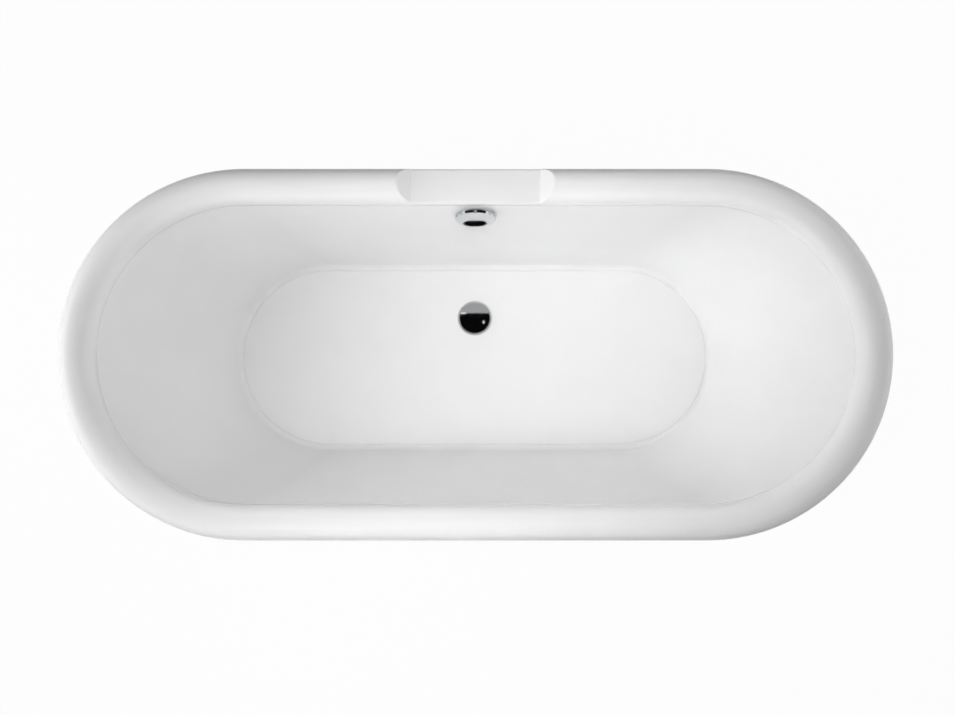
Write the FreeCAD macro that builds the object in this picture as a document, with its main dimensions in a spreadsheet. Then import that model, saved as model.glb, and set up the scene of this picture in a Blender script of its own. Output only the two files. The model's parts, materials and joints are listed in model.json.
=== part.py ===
"""A free-standing oval bath with a rolled rim, a tap ledge, a pop-up waste and a turn-knob overflow.

Millimetres, +X along the bath, +Y towards the tap ledge, +Z up. The origin is on the room's floor,
under the middle of the bath.
"""
import FreeCAD
import Part
import math
import os
import Sketcher

SIZES = [
    ("tub_length", 1700, "over the rolled rim"),
    ("tub_width", 757, "over the rolled rim"),
    ("well_depth", 420, "from the crest of the rim to the bathing floor"),
    ("floor_length", 1110, "the bathing floor's outline, where wall and floor planes meet"),
    ("floor_width", 433, "the same across"),
    ("floor_fillet", 12, "round between the bathing floor and the walls"),
    ("rim_width", 72, "of the roll, seen from above"),
    ("rim_outer_radius", 29, "the roll's outer quarter round"),
    ("rim_leg", 9, "straight leg under the roll's inner quarter round"),
    ("skin", 5, "acrylic sheet"),
    ("bond_gap", 0.3, "bond line between two layers"),
    ("backing", 3.7, "glass-fibre laminate behind the sheet"),
    ("deck_length", 264, "flat part of the tap ledge"),
    ("deck_drop", 28, "tap ledge below the crest of the rim"),
    ("cheek_angle", 45, "slope of the ledge's two end faces, in degrees"),
    ("deck_board_length", 230, "board under the tap ledge"),
    ("deck_board_thickness", 12, "board under the tap ledge"),
    ("deck_board_inset", 1.5, "room between that board and the roll's two legs"),
    ("stand_height", 155, "room floor to the underside of the base board"),
    ("board_thickness", 16, "base board"),
    ("board_inset", 14, "base board's edge inside the bathing floor's outline"),
    ("board_opening", 60, "radius of the base board's hole round the waste"),
    ("foot_place_along", 360, "middle of a foot's plate from the middle of the bath"),
    ("foot_place_across", 130, "the same across the bath"),
    ("foot_splay", 55, "angle of a foot from the bath's long axis, in degrees"),
    ("plate_length", 104, "foot plate, along the foot"),
    ("plate_width", 76, "foot plate, across the foot"),
    ("plate_thickness", 8, "foot plate"),
    ("shoulder_reach", 16, "middle of the leg where it leaves the plate, outward of the plate's middle"),
    ("shoulder_length", 84, "leg at the plate, along the foot"),
    ("shoulder_width", 70, "leg at the plate, across the foot"),
    ("knee_reach", 27, "middle of the knee"),
    ("knee_length", 70, "knee, along the foot"),
    ("knee_width", 60, "knee, across the foot"),
    ("knee_drop", 21, "knee below the plate"),
    ("ankle_reach", 33, "middle of the ankle"),
    ("ankle_length", 36, "ankle, along the foot"),
    ("ankle_width", 33, "ankle, across the foot"),
    ("ankle_rise", 54, "ankle above the sole"),
    ("paw_reach", 52, "middle of the paw and of its leveller"),
    ("paw_length", 68, "paw, along the foot"),
    ("paw_width", 62, "paw, across the foot"),
    ("paw_rise", 14, "widest part of the paw above the sole"),
    ("sole_length", 62, "sole, along the foot"),
    ("sole_width", 56, "sole, across the foot"),
    ("foot_gap", 20, "room floor to the sole"),
    ("pad_radius", 20, "leveller pad"),
    ("pad_edge", 6, "height of the leveller pad's upright edge"),
    ("pad_height", 10, "leveller pad"),
    ("pad_boss", 12, "radius of the leveller pad's top"),
    ("stud_radius", 5, "leveller stud"),
    ("stud_length", 46, "leveller stud"),
    ("stud_seat", 6, "depth of the stud in its pad"),
    ("stud_fit", 0.1, "room round the stud"),
    ("stud_bore", 40, "depth of the stud's hole in the paw"),
    ("collar_flats", 17, "stud's spanner collar, across its flats"),
    ("collar_height", 4, "stud's spanner collar"),
    ("collar_lift", 0.5, "spanner collar above the pad"),
    ("bolt_radius", 4, "foot bolt"),
    ("bolt_hole", 4.5, "radius of the bolt's hole in the plate"),
    ("bolt_flats", 13, "bolt's head across its flats"),
    ("bolt_head", 5.3, "height of the bolt's head"),
    ("bolt_grip", 11, "bolt inside the base board"),
    ("bolt_inset_along", 14, "bolt from the plate's inner end"),
    ("bolt_inset_across", 12, "bolt from the plate's long edge"),
    ("washer_radius", 8, "foot washer"),
    ("washer_thickness", 1.6, "foot washer"),
    ("insert_radius", 6, "threaded insert in the base board"),
    ("insert_length", 13, "threaded insert in the base board"),
    ("thread_fit", 0.05, "room between a screw thread and its nut, taken as plain rounds"),
    ("drain_offset", 93, "waste from the middle of the bath towards the tap ledge"),
    ("drain_hole", 26, "radius of the hole in the bathing floor"),
    ("gasket_inset", 3, "a gasket's edge inside the flange that squeezes it"),
    ("upper_gasket", 1.5, "thickness, under the drain flange"),
    ("lower_gasket", 3, "thickness, under the bath"),
    ("flange_radius", 40.5, "drain flange"),
    ("flange_thickness", 2.5, "drain flange"),
    ("flange_bevel", 1.2, "bevel round the drain flange"),
    ("dish_radius", 34.5, "the flange's shallow dish, where the plug seats"),
    ("dish_depth", 1.6, "the flange's shallow dish"),
    ("throat_radius", 22.5, "the flange's throat, at the bottom of its dish"),
    ("throat_depth", 9.2, "bottom of the throat below the flange's top"),
    ("tail_radius", 24, "the flange's threaded tail"),
    ("tail_wall", 3, "the flange's threaded tail"),
    ("tail_length", 40, "the tail below the bathing floor"),
    ("waste_flange", 46, "radius of the waste body's top flange"),
    ("waste_flange_height", 6, "waste body's top flange"),
    ("waste_neck", 29, "radius of the waste body's neck"),
    ("neck_length", 22, "waste body's neck"),
    ("bowl_radius", 34, "waste body's bowl"),
    ("bowl_height", 38, "waste body's bowl"),
    ("bowl_wall", 3, "waste body's bowl"),
    ("spigot_radius", 13, "overflow spigots on the waste body and the overflow body"),
    ("spigot_wall", 3, "overflow spigots"),
    ("spigot_length", 24, "waste body's overflow spigot past its bowl"),
    ("pipe_radius", 20, "waste pipe, outside"),
    ("pipe_wall", 2.5, "waste pipe"),
    ("outlet_length", 12, "waste body's outlet under its bowl"),
    ("guide_height", 6, "plug guide and spindle bearing"),
    ("guide_rim", 2.5, "wall of their outer ring"),
    ("guide_hub", 7.5, "radius of their hub"),
    ("guide_arm", 3, "width of their arms"),
    ("guide_fit", 0.1, "room round a guide's ring and in its hub"),
    ("guide_depth", 20, "underside of the plug guide below the bathing floor"),
    ("cap_radius", 36.5, "pop-up plug's cap"),
    ("cap_edge", 2.8, "upright edge of the cap"),
    ("cap_bevel", 1.5, "round over the cap's edge"),
    ("cap_dome", 2, "rise of the cap's dome"),
    ("cap_lift", 0.6, "closed cap above the drain flange"),
    ("seal_radius", 28.5, "plug seal, a flat ring under the cap"),
    ("seal_bore", 17, "radius of the plug seal's hole"),
    ("seal_thickness", 1.1, "plug seal"),
    ("carrier_radius", 20.5, "lip of the plug that holds the seal up"),
    ("carrier_height", 1.3, "that lip"),
    ("plug_hub", 10, "radius of the plug's hub"),
    ("plug_hub_drop", 10.2, "hub below that lip"),
    ("stem_radius", 4, "plug stem"),
    ("stem_seat", 12, "stem inside the plug's hub"),
    ("stem_fit", 0.05, "room round the stem in the plug"),
    ("rocker_arm", 18, "lift rocker, shaft to tip"),
    ("rocker_tip", 3, "radius of the rocker's tip"),
    ("rocker_shaft", 3, "radius of the rocker's shaft"),
    ("rocker_thickness", 3, "rocker's arms"),
    ("rocker_width", 6, "rocker's arms along the shaft"),
    ("rocker_lever", 14, "rocker's cable lever"),
    ("rocker_dip", 20, "the closed rocker points down by this angle, in degrees"),
    ("rocker_floor", 1.5, "closed rocker's tip above the bowl's floor"),
    ("rocker_touch", 0.3, "rocker's tip under the stem"),
    ("rocker_bearing", 2.3, "depth of the rocker's shaft in the bowl's wall"),
    ("boss_radius", 6, "bosses for the rocker's shaft and the cable"),
    ("boss_reach", 8, "a cable boss past the body that it is on"),
    ("union_wall", 7, "trap's union nut"),
    ("union_height", 22, "trap's union nut"),
    ("union_lip", 4.9, "union nut's lip under the trap's collar"),
    ("trap_seal", 2, "thickness"),
    ("trap_collar", 4, "radial width and height of the trap's collar"),
    ("trap_drop", 14, "straight inlet under the trap's collar"),
    ("trap_bend", 32, "radius of the trap's U"),
    ("trap_rise", 14, "straight riser of the trap"),
    ("trap_elbow", 30, "radius of the trap's outlet elbow"),
    ("trap_outlet", 86, "straight outlet of the trap"),
    ("overflow_drop", 97, "overflow below the crest of the rim"),
    ("overflow_hole", 28, "radius of the hole in the rear wall"),
    ("front_seal", 1.5, "thickness, under the rosette"),
    ("rosette_radius", 36, "overflow rosette"),
    ("rosette_edge", 1.5, "upright edge of the rosette"),
    ("rosette_height", 3, "overflow rosette"),
    ("rosette_slope", 2.5, "bevel of the rosette"),
    ("sleeve_radius", 26, "rosette's sleeve through the wall"),
    ("sleeve_wall", 3, "rosette's sleeve"),
    ("sleeve_length", 30, "rosette's sleeve behind the wall's face"),
    ("water_gap", 3, "water's way between the rosette and the knob"),
    ("knob_radius", 43, "overflow knob"),
    ("knob_height", 6.5, "overflow knob"),
    ("knob_bevel", 2, "round over the knob's face"),
    ("knob_dome", 2, "rise of the knob's face"),
    ("knob_skirt", 3, "wall of the knob"),
    ("knob_face", 3.5, "thickness of the knob's face"),
    ("knob_hub", 9, "radius of the knob's hub"),
    ("scallop_radius", 6, "finger scallops of the knob"),
    ("scallop_depth", 1.6, "finger scallops of the knob"),
    ("scallop_count", 8, "finger scallops of the knob"),
    ("spindle_radius", 5, "knob's spindle"),
    ("spindle_fit", 0.05, "room round the spindle in the knob and the drum"),
    ("drum_radius", 15, "cable drum"),
    ("drum_width", 8, "cable drum"),
    ("drum_groove", 2.5, "depth of the drum's groove"),
    ("back_gasket", 3, "thickness, behind the wall"),
    ("cup_flange", 42, "radius of the overflow body's flange"),
    ("cup_flange_height", 4, "overflow body's flange"),
    ("cup_radius", 33, "overflow body"),
    ("cup_wall", 3, "overflow body"),
    ("cup_margin", 12, "overflow body's length behind its down spigot"),
    ("cover_thickness", 3, "overflow body's back cover"),
    ("cover_lip", 4, "back cover's lip inside the body"),
    ("cover_fit", 0.1, "room round that lip"),
    ("down_place", 13, "middle of the overflow's down spigot behind the body's flange"),
    ("down_length", 59, "overflow's down spigot below the body's axis"),
    ("hose_overlap", 20, "hose pushed over a spigot"),
    ("hose_fit", 0.1, "room between hose and spigot"),
    ("hose_cuff", 30, "smooth end of the hose, without ribs"),
    ("hose_wall", 2.4, "hose between its ribs"),
    ("rib_height", 2, "hose's ribs"),
    ("rib_pitch", 6, "hose's ribs"),
    ("hose_bend", 100, "radius of the hose's bend"),
    ("clamp_width", 9, "hose clamp"),
    ("clamp_wall", 1.5, "hose clamp"),
    ("clamp_fit", 0.1, "room between clamp or clip and hose"),
    ("cable_radius", 3, "control cable's sheath"),
    ("cable_side", 28, "control cable beside the hose"),
    ("cable_fit", 0.1, "room round the cable"),
    ("cable_entry", 14, "cable inside the body that it goes into"),
    ("gland_flats", 13, "cable gland across its flats"),
    ("gland_length", 10, "cable gland"),
    ("clip_width", 8, "cable clip"),
    ("clip_wall", 2, "cable clip"),
    ("clip_high", 380, "upper cable clip above the room floor"),
    ("clip_low", 290, "lower cable clip above the room floor"),
]

CORNERS = {
    "rear_right": (1, 1),
    "rear_left": (-1, 1),
    "front_left": (-1, -1),
    "front_right": (1, -1),
}

ALONG = FreeCAD.Vector(1, 0, 0)
ACROSS = FreeCAD.Vector(0, 1, 0)
UP = FreeCAD.Vector(0, 0, 1)
SKETCH_POINTS = {"start": 1, "end": 2, "centre": 3}
ORIGIN = (-1, 1)
RIB_SHAPE = [(0.1, 0), (0.3, 1), (0.7, 1), (0.9, 0)]

document = FreeCAD.newDocument("oval_bath")
sheet = document.addObject("Spreadsheet::Sheet", "Sizes")
nodes = []


class Size:
    """A number kept two ways: its value now, and the formula over the sheet's cells that it follows."""

    def __init__(self, value, formula):
        self.value = value
        self.formula = formula

    def __add__(self, other):
        other = as_size(other)
        return Size(self.value + other.value, f"({self.formula} + {other.formula})")

    def __sub__(self, other):
        other = as_size(other)
        return Size(self.value - other.value, f"({self.formula} - {other.formula})")

    def __mul__(self, other):
        other = as_size(other)
        return Size(self.value * other.value, f"({self.formula} * {other.formula})")

    def __truediv__(self, other):
        other = as_size(other)
        return Size(self.value / other.value, f"({self.formula} / {other.formula})")

    def __neg__(self):
        return Size(-self.value, f"(-1 * {self.formula})")

    def __radd__(self, other):
        return as_size(other) + self

    def __rsub__(self, other):
        return as_size(other) - self

    def __rmul__(self, other):
        return as_size(other) * self


def as_size(number):
    """A plain number as a Size that never changes."""
    return number if isinstance(number, Size) else Size(number, f"({number})")


def sine(angle):
    return Size(math.sin(math.radians(angle.value)), f"sin({angle.formula})")


def cosine(angle):
    return Size(math.cos(math.radians(angle.value)), f"cos({angle.formula})")


def tangent(angle):
    return Size(math.tan(math.radians(angle.value)), f"tan({angle.formula})")


def angle_of(slope):
    """The angle, in degrees, whose tangent is the slope."""
    return Size(math.degrees(math.atan(slope.value)), f"(atan({slope.formula}) / 1 deg)")


def root(number):
    return Size(math.sqrt(number.value), f"sqrt({number.formula})")


def fill_sheet():
    """Write every size to its own cell, with its name beside it and what it measures."""
    for row, (alias, value, meaning) in enumerate(SIZES, start=1):
        sheet.set(f"A{row}", alias)
        sheet.set(f"B{row}", str(value))
        sheet.set(f"C{row}", meaning)
        sheet.setAlias(f"B{row}", alias)
    document.recompute()


def cell(alias):
    return Size(float(sheet.get(alias)), f"Sizes.{alias}")


def bind(item, setting, size):
    item.setExpression(setting, as_size(size).formula)


def place(item, x=0, y=0, z=0, axis=UP, angle=0):
    """Put an item at (x, y, z), turned by angle degrees about axis, and keep it there by formula."""
    x, y, z, angle = (as_size(number) for number in (x, y, z, angle))
    spot = FreeCAD.Vector(x.value, y.value, z.value)
    item.Placement = FreeCAD.Placement(spot, FreeCAD.Rotation(axis, angle.value))
    bind(item, "Placement.Base.x", x)
    bind(item, "Placement.Base.y", y)
    bind(item, "Placement.Base.z", z)
    if angle.value:
        bind(item, "Placement.Rotation.Angle", angle)
    return item


def arc_from(corner, end):
    """The arc that leaves a corner (x, y, centre x, centre y, turn) and reaches the end point."""
    x, y, centre_x, centre_y, turn = corner
    first = math.atan2(y.value - centre_y.value, x.value - centre_x.value)
    last = math.atan2(end[1].value - centre_y.value, end[0].value - centre_x.value)
    if turn < 0:
        first, last = last, first
    if last <= first:
        last += 2 * math.pi
    radius = math.hypot(x.value - centre_x.value, y.value - centre_y.value)
    circle = Part.Circle(FreeCAD.Vector(centre_x.value, centre_y.value, 0), UP, radius)
    return Part.ArcOfCircle(circle, first, last)


def fix(sketch, kind, edge, end, size):
    """Hold one coordinate of one end of an edge at a size."""
    index = sketch.addConstraint(Sketcher.Constraint(kind, *ORIGIN, edge, end, size.value))
    sketch.setExpression(f"Constraints[{index}]", size.formula)


def fix_point(sketch, edge, end, x, y):
    fix(sketch, "DistanceX", edge, end, x)
    fix(sketch, "DistanceY", edge, end, y)


def draw(sketch, corners, closed=True):
    """Draw lines and arcs through the corners and hold each corner by formula.

    A corner is (x, y), from which a straight edge leaves, or (x, y, centre x, centre y, turn), from
    which an arc leaves, with turn 1 for counter-clockwise and -1 for clockwise.
    """
    corners = [tuple(as_size(n) for n in corner[:4]) + tuple(corner[4:]) for corner in corners]
    count = len(corners) if closed else len(corners) - 1
    last_end = None
    first_start = None
    for edge in range(count):
        corner = corners[edge]
        target = corners[(edge + 1) % len(corners)]
        start, end = SKETCH_POINTS["start"], SKETCH_POINTS["end"]
        if len(corner) == 2:
            points = [FreeCAD.Vector(x.value, y.value, 0) for x, y in (corner[:2], target[:2])]
            sketch.addGeometry(Part.LineSegment(*points))
        else:
            sketch.addGeometry(arc_from(corner, target))
            if corner[4] < 0:
                start, end = end, start
        fix_point(sketch, edge, start, *corner[:2])
        if last_end is not None:
            sketch.addConstraint(Sketcher.Constraint("Coincident", edge - 1, last_end, edge, start))
        else:
            first_start = start
        if len(corner) > 2:
            fix_centre(sketch, edge, corner, target)
        last_end = end
    if closed:
        sketch.addConstraint(Sketcher.Constraint("Coincident", count - 1, last_end, 0, first_start))
    else:
        fix_point(sketch, count - 1, last_end, *corners[-1][:2])
    return sketch


def fix_centre(sketch, edge, corner, target):
    """Hold the coordinate of an arc's centre that its two ends leave free."""
    across = abs(corner[0].value - target[0].value)
    along = abs(corner[1].value - target[1].value)
    if across < along:
        fix(sketch, "DistanceX", edge, SKETCH_POINTS["centre"], corner[2])
    else:
        fix(sketch, "DistanceY", edge, SKETCH_POINTS["centre"], corner[3])


def free_sketch(name, corners, closed=True):
    return draw(document.addObject("Sketcher::SketchObject", name), corners, closed)


def body_sketch(body, role, name, corners):
    """A sketch on one of the body's own origin planes."""
    sketch = body.newObject("Sketcher::SketchObject", name)
    plane = next(feature for feature in body.Origin.OriginFeatures if feature.Role == role)
    sketch.AttachmentSupport = [(plane, "")]
    sketch.MapMode = "FlatFace"
    return draw(sketch, corners)


def turned(name, profile):
    """A solid of revolution about its own Z axis, from (radius, height) corners."""
    body = document.addObject("PartDesign::Body", name)
    sketch = body_sketch(body, "XZ_Plane", f"{name}_profile", profile)
    revolution = body.newObject("PartDesign::Revolution", f"{name}_turn")
    revolution.Profile = sketch
    revolution.ReferenceAxis = (sketch, ["V_Axis"])
    revolution.Angle = 360
    return body


def ring(name, inner, outer, low, high):
    """A plain ring about its own Z axis."""
    return turned(name, [(inner, low), (outer, low), (outer, high), (inner, high)])


def plate(name, corners, thickness):
    """A flat piece on its own XY plane."""
    body = document.addObject("PartDesign::Body", name)
    pad = body.newObject("PartDesign::Pad", f"{name}_pad")
    pad.Profile = body_sketch(body, "XY_Plane", f"{name}_outline", corners)
    bind(pad, "Length", thickness)
    return body


def rod(name, radius, length, **where):
    cylinder = document.addObject("Part::Cylinder", name)
    bind(cylinder, "Radius", radius)
    bind(cylinder, "Height", length)
    return place(cylinder, **where)


def block(name, length, width, height, **where):
    box = document.addObject("Part::Box", name)
    bind(box, "Length", length)
    bind(box, "Width", width)
    bind(box, "Height", height)
    return place(box, **where)


def hexagon(name, flats, height, **where):
    """A six-sided bar, its size given across its flats."""
    prism = document.addObject("Part::Prism", name)
    prism.Polygon = 6
    bind(prism, "Circumradius", flats / math.sqrt(3))
    bind(prism, "Height", height)
    return place(prism, **where)


def fuse(name, items):
    union = document.addObject("Part::MultiFuse", name)
    union.Shapes = items
    return union


def cut(name, base, tools):
    difference = document.addObject("Part::Cut", name)
    difference.Base = base
    difference.Tool = tools[0] if len(tools) == 1 else fuse(f"{name}_tools", tools)
    return difference


def group(name, items):
    """Separate solids that share one node."""
    compound = document.addObject("Part::Compound", name)
    compound.Links = items
    return compound


def node(label, item):
    """Name a finished sub-part."""
    item.Label = label
    nodes.append(item)
    return item


def stadium_corners(half_straight, radius):
    """Two straight sides joined by two half circles, clockwise seen from above."""
    return [
        (-half_straight, radius),
        (half_straight, radius, half_straight, 0, -1),
        (half_straight, -radius),
        (-half_straight, -radius, -half_straight, 0, -1),
    ]


fill_sheet()

# The bath's own measures, worked out from the sheet
shell_thickness = cell("skin") + cell("bond_gap") + cell("backing")
drill_reach = 2 * shell_thickness
bath_floor = cell("stand_height") + cell("board_thickness") + shell_thickness
crest = bath_floor + cell("well_depth")
outer_radius = cell("tub_width") / 2
rim_straight = (cell("tub_length") - cell("tub_width")) / 2
rim_inner_radius = cell("rim_width") - cell("rim_outer_radius")
well_radius = outer_radius - cell("rim_width")
rim_lip = crest - rim_inner_radius - cell("rim_leg")
floor_radius = cell("floor_width") / 2
floor_straight = (cell("floor_length") - cell("floor_width")) / 2
side_slope = (well_radius - floor_radius) / (rim_lip - bath_floor)
straight_slope = (rim_straight - floor_straight) / (rim_lip - bath_floor)
side_tilt = angle_of(side_slope)
deck_level = crest - cell("deck_drop")

# The overflow's axis, square to the rear wall
overflow_level = crest - cell("overflow_drop")
overflow_across = floor_radius + (overflow_level - bath_floor) * side_slope
overflow_turn = 90 - side_tilt
wall_back = -(shell_thickness * cosine(side_tilt))
gasket_back = wall_back - cell("back_gasket")
cup_flange_back = gasket_back - cell("cup_flange_height")
down_depth = cup_flange_back - cell("down_place")
cup_back = down_depth - cell("spigot_radius") - cell("cup_margin")
down_across = overflow_across - down_depth * cosine(side_tilt)
down_level = overflow_level + down_depth * sine(side_tilt)

# The waste's levels
board_top = bath_floor - shell_thickness
waste_top = board_top - cell("lower_gasket")
neck_top = waste_top - cell("waste_flange_height")
bowl_top = neck_top - cell("neck_length")
bowl_bottom = bowl_top - cell("bowl_height")
bowl_floor = bowl_bottom + cell("bowl_wall")
bowl_bore = cell("bowl_radius") - cell("bowl_wall")
outlet_end = bowl_bottom - cell("outlet_length")
inlet_level = (bowl_top + bowl_bottom) / 2
inlet_end = cell("drain_offset") + cell("bowl_radius") + cell("spigot_length")
flange_under = bath_floor + cell("upper_gasket")
flange_top = flange_under + cell("flange_thickness")
tail_bore = cell("tail_radius") - cell("tail_wall")

# The closed rocker and the stem that stands on it
rocker_drop = cell("rocker_arm") * sine(cell("rocker_dip"))
rocker_across = cell("drain_offset") - cell("rocker_arm") * cosine(cell("rocker_dip"))
rocker_level = bowl_floor + cell("rocker_floor") + cell("rocker_tip") + rocker_drop
stem_foot = rocker_level - rocker_drop + cell("rocker_tip") + cell("rocker_touch")
cap_under = flange_top + cell("cap_lift")
seal_under = cap_under - cell("seal_thickness")
carrier_under = seal_under - cell("carrier_height")
hub_under = carrier_under - cell("plug_hub_drop")
stem_top = hub_under + cell("stem_seat")

# The hose and the cable between the overflow and the waste
hose_bore = cell("spigot_radius") + cell("hose_fit")
hose_radius = hose_bore + cell("hose_wall")
hose_crest = hose_radius + cell("rib_height")
hose_top = down_level - cell("down_length") + cell("hose_overlap")
hose_end = inlet_end - cell("hose_overlap")
cup_boss_end = down_level - cell("cup_radius") - cell("boss_reach")
bowl_boss_end = cell("drain_offset") + cell("bowl_radius") + cell("boss_reach")


def on_drain(item, z=0):
    return place(item, y=cell("drain_offset"), z=z)


def on_overflow(item):
    """Put an item on the overflow's axis: its own +Z points into the bath, square to the wall."""
    return place(item, y=overflow_across, z=overflow_level, axis=ALONG, angle=overflow_turn)


def roll(name, depth):
    """The rim's roll, filled solid, with its skin taken off to a depth."""
    top = crest - depth
    outer = outer_radius - depth
    inner = well_radius + depth
    middle = outer_radius - cell("rim_outer_radius")
    profile = free_sketch(f"{name}_profile", [
        (outer, rim_lip),
        (outer, crest - cell("rim_outer_radius"), middle, crest - cell("rim_outer_radius"), 1),
        (middle, top, middle, crest - rim_inner_radius, 1),
        (inner, crest - rim_inner_radius),
        (inner, rim_lip),
    ])
    profile.Placement.Rotation = FreeCAD.Rotation(ACROSS, UP, ALONG, "XYZ")
    path = free_sketch(f"{name}_path", [
        (0, outer_radius),
        (rim_straight, outer_radius, rim_straight, 0, -1),
        (rim_straight, -outer_radius),
        (-rim_straight, -outer_radius, -rim_straight, 0, -1),
        (-rim_straight, outer_radius),
    ])
    sweep = document.addObject("Part::Sweep", name)
    sweep.Sections = [profile]
    sweep.Spine = (path, [f"Edge{index}" for index in range(1, 6)])
    sweep.Solid = True
    return sweep


def ledge_notch(name, depth):
    """What the tap ledge takes out of the roll: a trough with sloped ends, sunk by a depth."""
    low = deck_level - depth
    high = crest + cell("rim_width")
    half_low = cell("deck_length") / 2 + depth * tangent(cell("cheek_angle") / 2)
    half_high = half_low + (high - low) / tangent(cell("cheek_angle"))
    wedge = document.addObject("Part::Wedge", name)
    for setting, size in {
        "Ymin": low,
        "Ymax": high,
        "Xmin": -half_low,
        "Xmax": half_low,
        "X2min": -half_high,
        "X2max": half_high,
        "Zmin": -outer_radius - cell("rim_width"),
        "Zmax": -well_radius,
        "Z2min": -outer_radius - cell("rim_width"),
        "Z2max": -well_radius,
    }.items():
        setattr(wedge, setting, size.value)
        bind(wedge, setting, size)
    return place(wedge, axis=ALONG, angle=90)


def stadium(name, half_straight, radius, z):
    return place(free_sketch(name, stadium_corners(half_straight, radius)), z=z)


def well(name, depth):
    """The bathing well, filled solid and grown by a depth: straight lines from floor to rim."""
    low = bath_floor - depth
    low_radius = floor_radius + depth - depth * side_slope
    low_straight = floor_straight - depth * straight_slope
    loft = document.addObject("Part::Loft", f"{name}_loft")
    loft.Sections = [
        stadium(f"{name}_bottom", low_straight, low_radius, low),
        stadium(f"{name}_mouth", rim_straight, well_radius + depth, rim_lip),
    ]
    loft.Ruled = True
    loft.Solid = True
    document.recompute()
    radius = (cell("floor_fillet") + depth).value
    fillet = document.addObject("Part::Fillet", name)
    fillet.Base = loft
    fillet.Edges = [(index, radius, radius) for index, edge in enumerate(loft.Shape.Edges, start=1)
                    if edge.BoundBox.ZMax < low.value + radius]
    return fillet


def layer(label, depth, thickness):
    """One layer of the shell: the skin over the roll and the ledge, joined to the skin of the well."""
    under = depth + thickness
    rolls = []
    for side, level in (("top", depth), ("under", under)):
        notch = ledge_notch(f"{label}_{side}_notch", level)
        rolls.append(cut(f"{label}_{side}_roll", roll(f"{label}_{side}_sweep", level), [notch]))
    rim = cut(f"{label}_rim", rolls[0], rolls[1:])
    walls = cut(f"{label}_walls", well(f"{label}_outside", under), [well(f"{label}_inside", depth)])
    drain_hole = on_drain(rod(f"{label}_drain_hole", cell("drain_hole"), 2 * drill_reach),
                          bath_floor - drill_reach)
    overflow_hole = ring(f"{label}_overflow_hole", 0, cell("overflow_hole"), -drill_reach, drill_reach)
    whole = fuse(f"{label}_whole", [rim, walls])
    return node(label, cut(label, whole, [drain_hole, on_overflow(overflow_hole)]))


def shell():
    layer("acrylic_shell", as_size(0), cell("skin"))
    layer("glass_fibre_backing", cell("skin") + cell("bond_gap"), cell("backing"))
    board_width = cell("rim_width") - 2 * shell_thickness - 2 * cell("deck_board_inset")
    board_level = deck_level - shell_thickness - cell("bond_gap") - cell("deck_board_thickness")
    board = block("deck_board", cell("deck_board_length"), board_width, cell("deck_board_thickness"),
                  x=-cell("deck_board_length") / 2,
                  y=well_radius + shell_thickness + cell("deck_board_inset"), z=board_level)
    node("deck_board", board)


def foot_spot(corner, along, across):
    """A spot on one foot, measured outward along the foot and across it, in the bath's own frame."""
    side, end = CORNERS[corner]
    splay = cell("foot_splay")
    out_x = side * cosine(splay)
    out_y = end * sine(splay)
    x = side * cell("foot_place_along") + along * out_x - across * out_y
    y = end * cell("foot_place_across") + along * out_y + across * out_x
    return x, y


def foot_turn(corner):
    """The direction that a foot points in, in degrees from +X."""
    side, end = CORNERS[corner]
    splay = end * cell("foot_splay")
    return splay if side > 0 else 180 - splay


def bolt_spots():
    """Where the bolts of every foot stand."""
    along = cell("bolt_inset_along") - cell("plate_length") / 2
    across = cell("plate_width") / 2 - cell("bolt_inset_across")
    return [foot_spot(corner, along, side * across) for corner in CORNERS for side in (1, -1)]


def base_board():
    board = plate("base_board_blank", stadium_corners(floor_straight, floor_radius - cell("board_inset")),
                  cell("board_thickness"))
    place(board, z=cell("stand_height"))
    holes = [on_drain(rod("waste_opening", cell("board_opening"), 3 * cell("board_thickness")),
                      cell("stand_height") - cell("board_thickness"))]
    for index, (x, y) in enumerate(bolt_spots()):
        holes.append(rod(f"insert_hole_{index}", cell("insert_radius") + cell("thread_fit"),
                         cell("insert_length") + cell("board_thickness"),
                         x=x, y=y, z=cell("stand_height") - cell("board_thickness")))
    node("base_board", cut("base_board", board, holes))


def fasteners():
    """The bolts, washers and inserts that hold the feet to the base board."""
    plate_under = cell("stand_height") - cell("plate_thickness")
    washer_under = plate_under - cell("washer_thickness")
    shank = cell("stand_height") + cell("bolt_grip") - washer_under
    bolts, washers, inserts = [], [], []
    for index, (x, y) in enumerate(bolt_spots()):
        head = hexagon(f"bolt_head_{index}", cell("bolt_flats"), cell("bolt_head"),
                       x=x, y=y, z=washer_under - cell("bolt_head"))
        body = rod(f"bolt_shank_{index}", cell("bolt_radius"), shank + cell("bolt_head"),
                   x=x, y=y, z=washer_under - cell("bolt_head"))
        bolts.append(fuse(f"bolt_{index}", [head, body]))
        washer = ring(f"washer_{index}", cell("bolt_hole"), cell("washer_radius"), 0, cell("washer_thickness"))
        washers.append(place(washer, x=x, y=y, z=washer_under))
        insert = ring(f"insert_{index}", cell("bolt_radius") + cell("thread_fit"), cell("insert_radius"),
                      0, cell("insert_length"))
        inserts.append(place(insert, x=x, y=y, z=cell("stand_height")))
    node("foot_bolts", group("foot_bolts", bolts))
    node("foot_washers", group("foot_washers", washers))
    node("board_inserts", group("board_inserts", inserts))


def oval(name, length, width, reach, z):
    """A level oval, one section of a foot."""
    ellipse = document.addObject("Part::Ellipse", name)
    bind(ellipse, "MajorRadius", length / 2)
    bind(ellipse, "MinorRadius", width / 2)
    return place(ellipse, x=reach, z=z)


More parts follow.
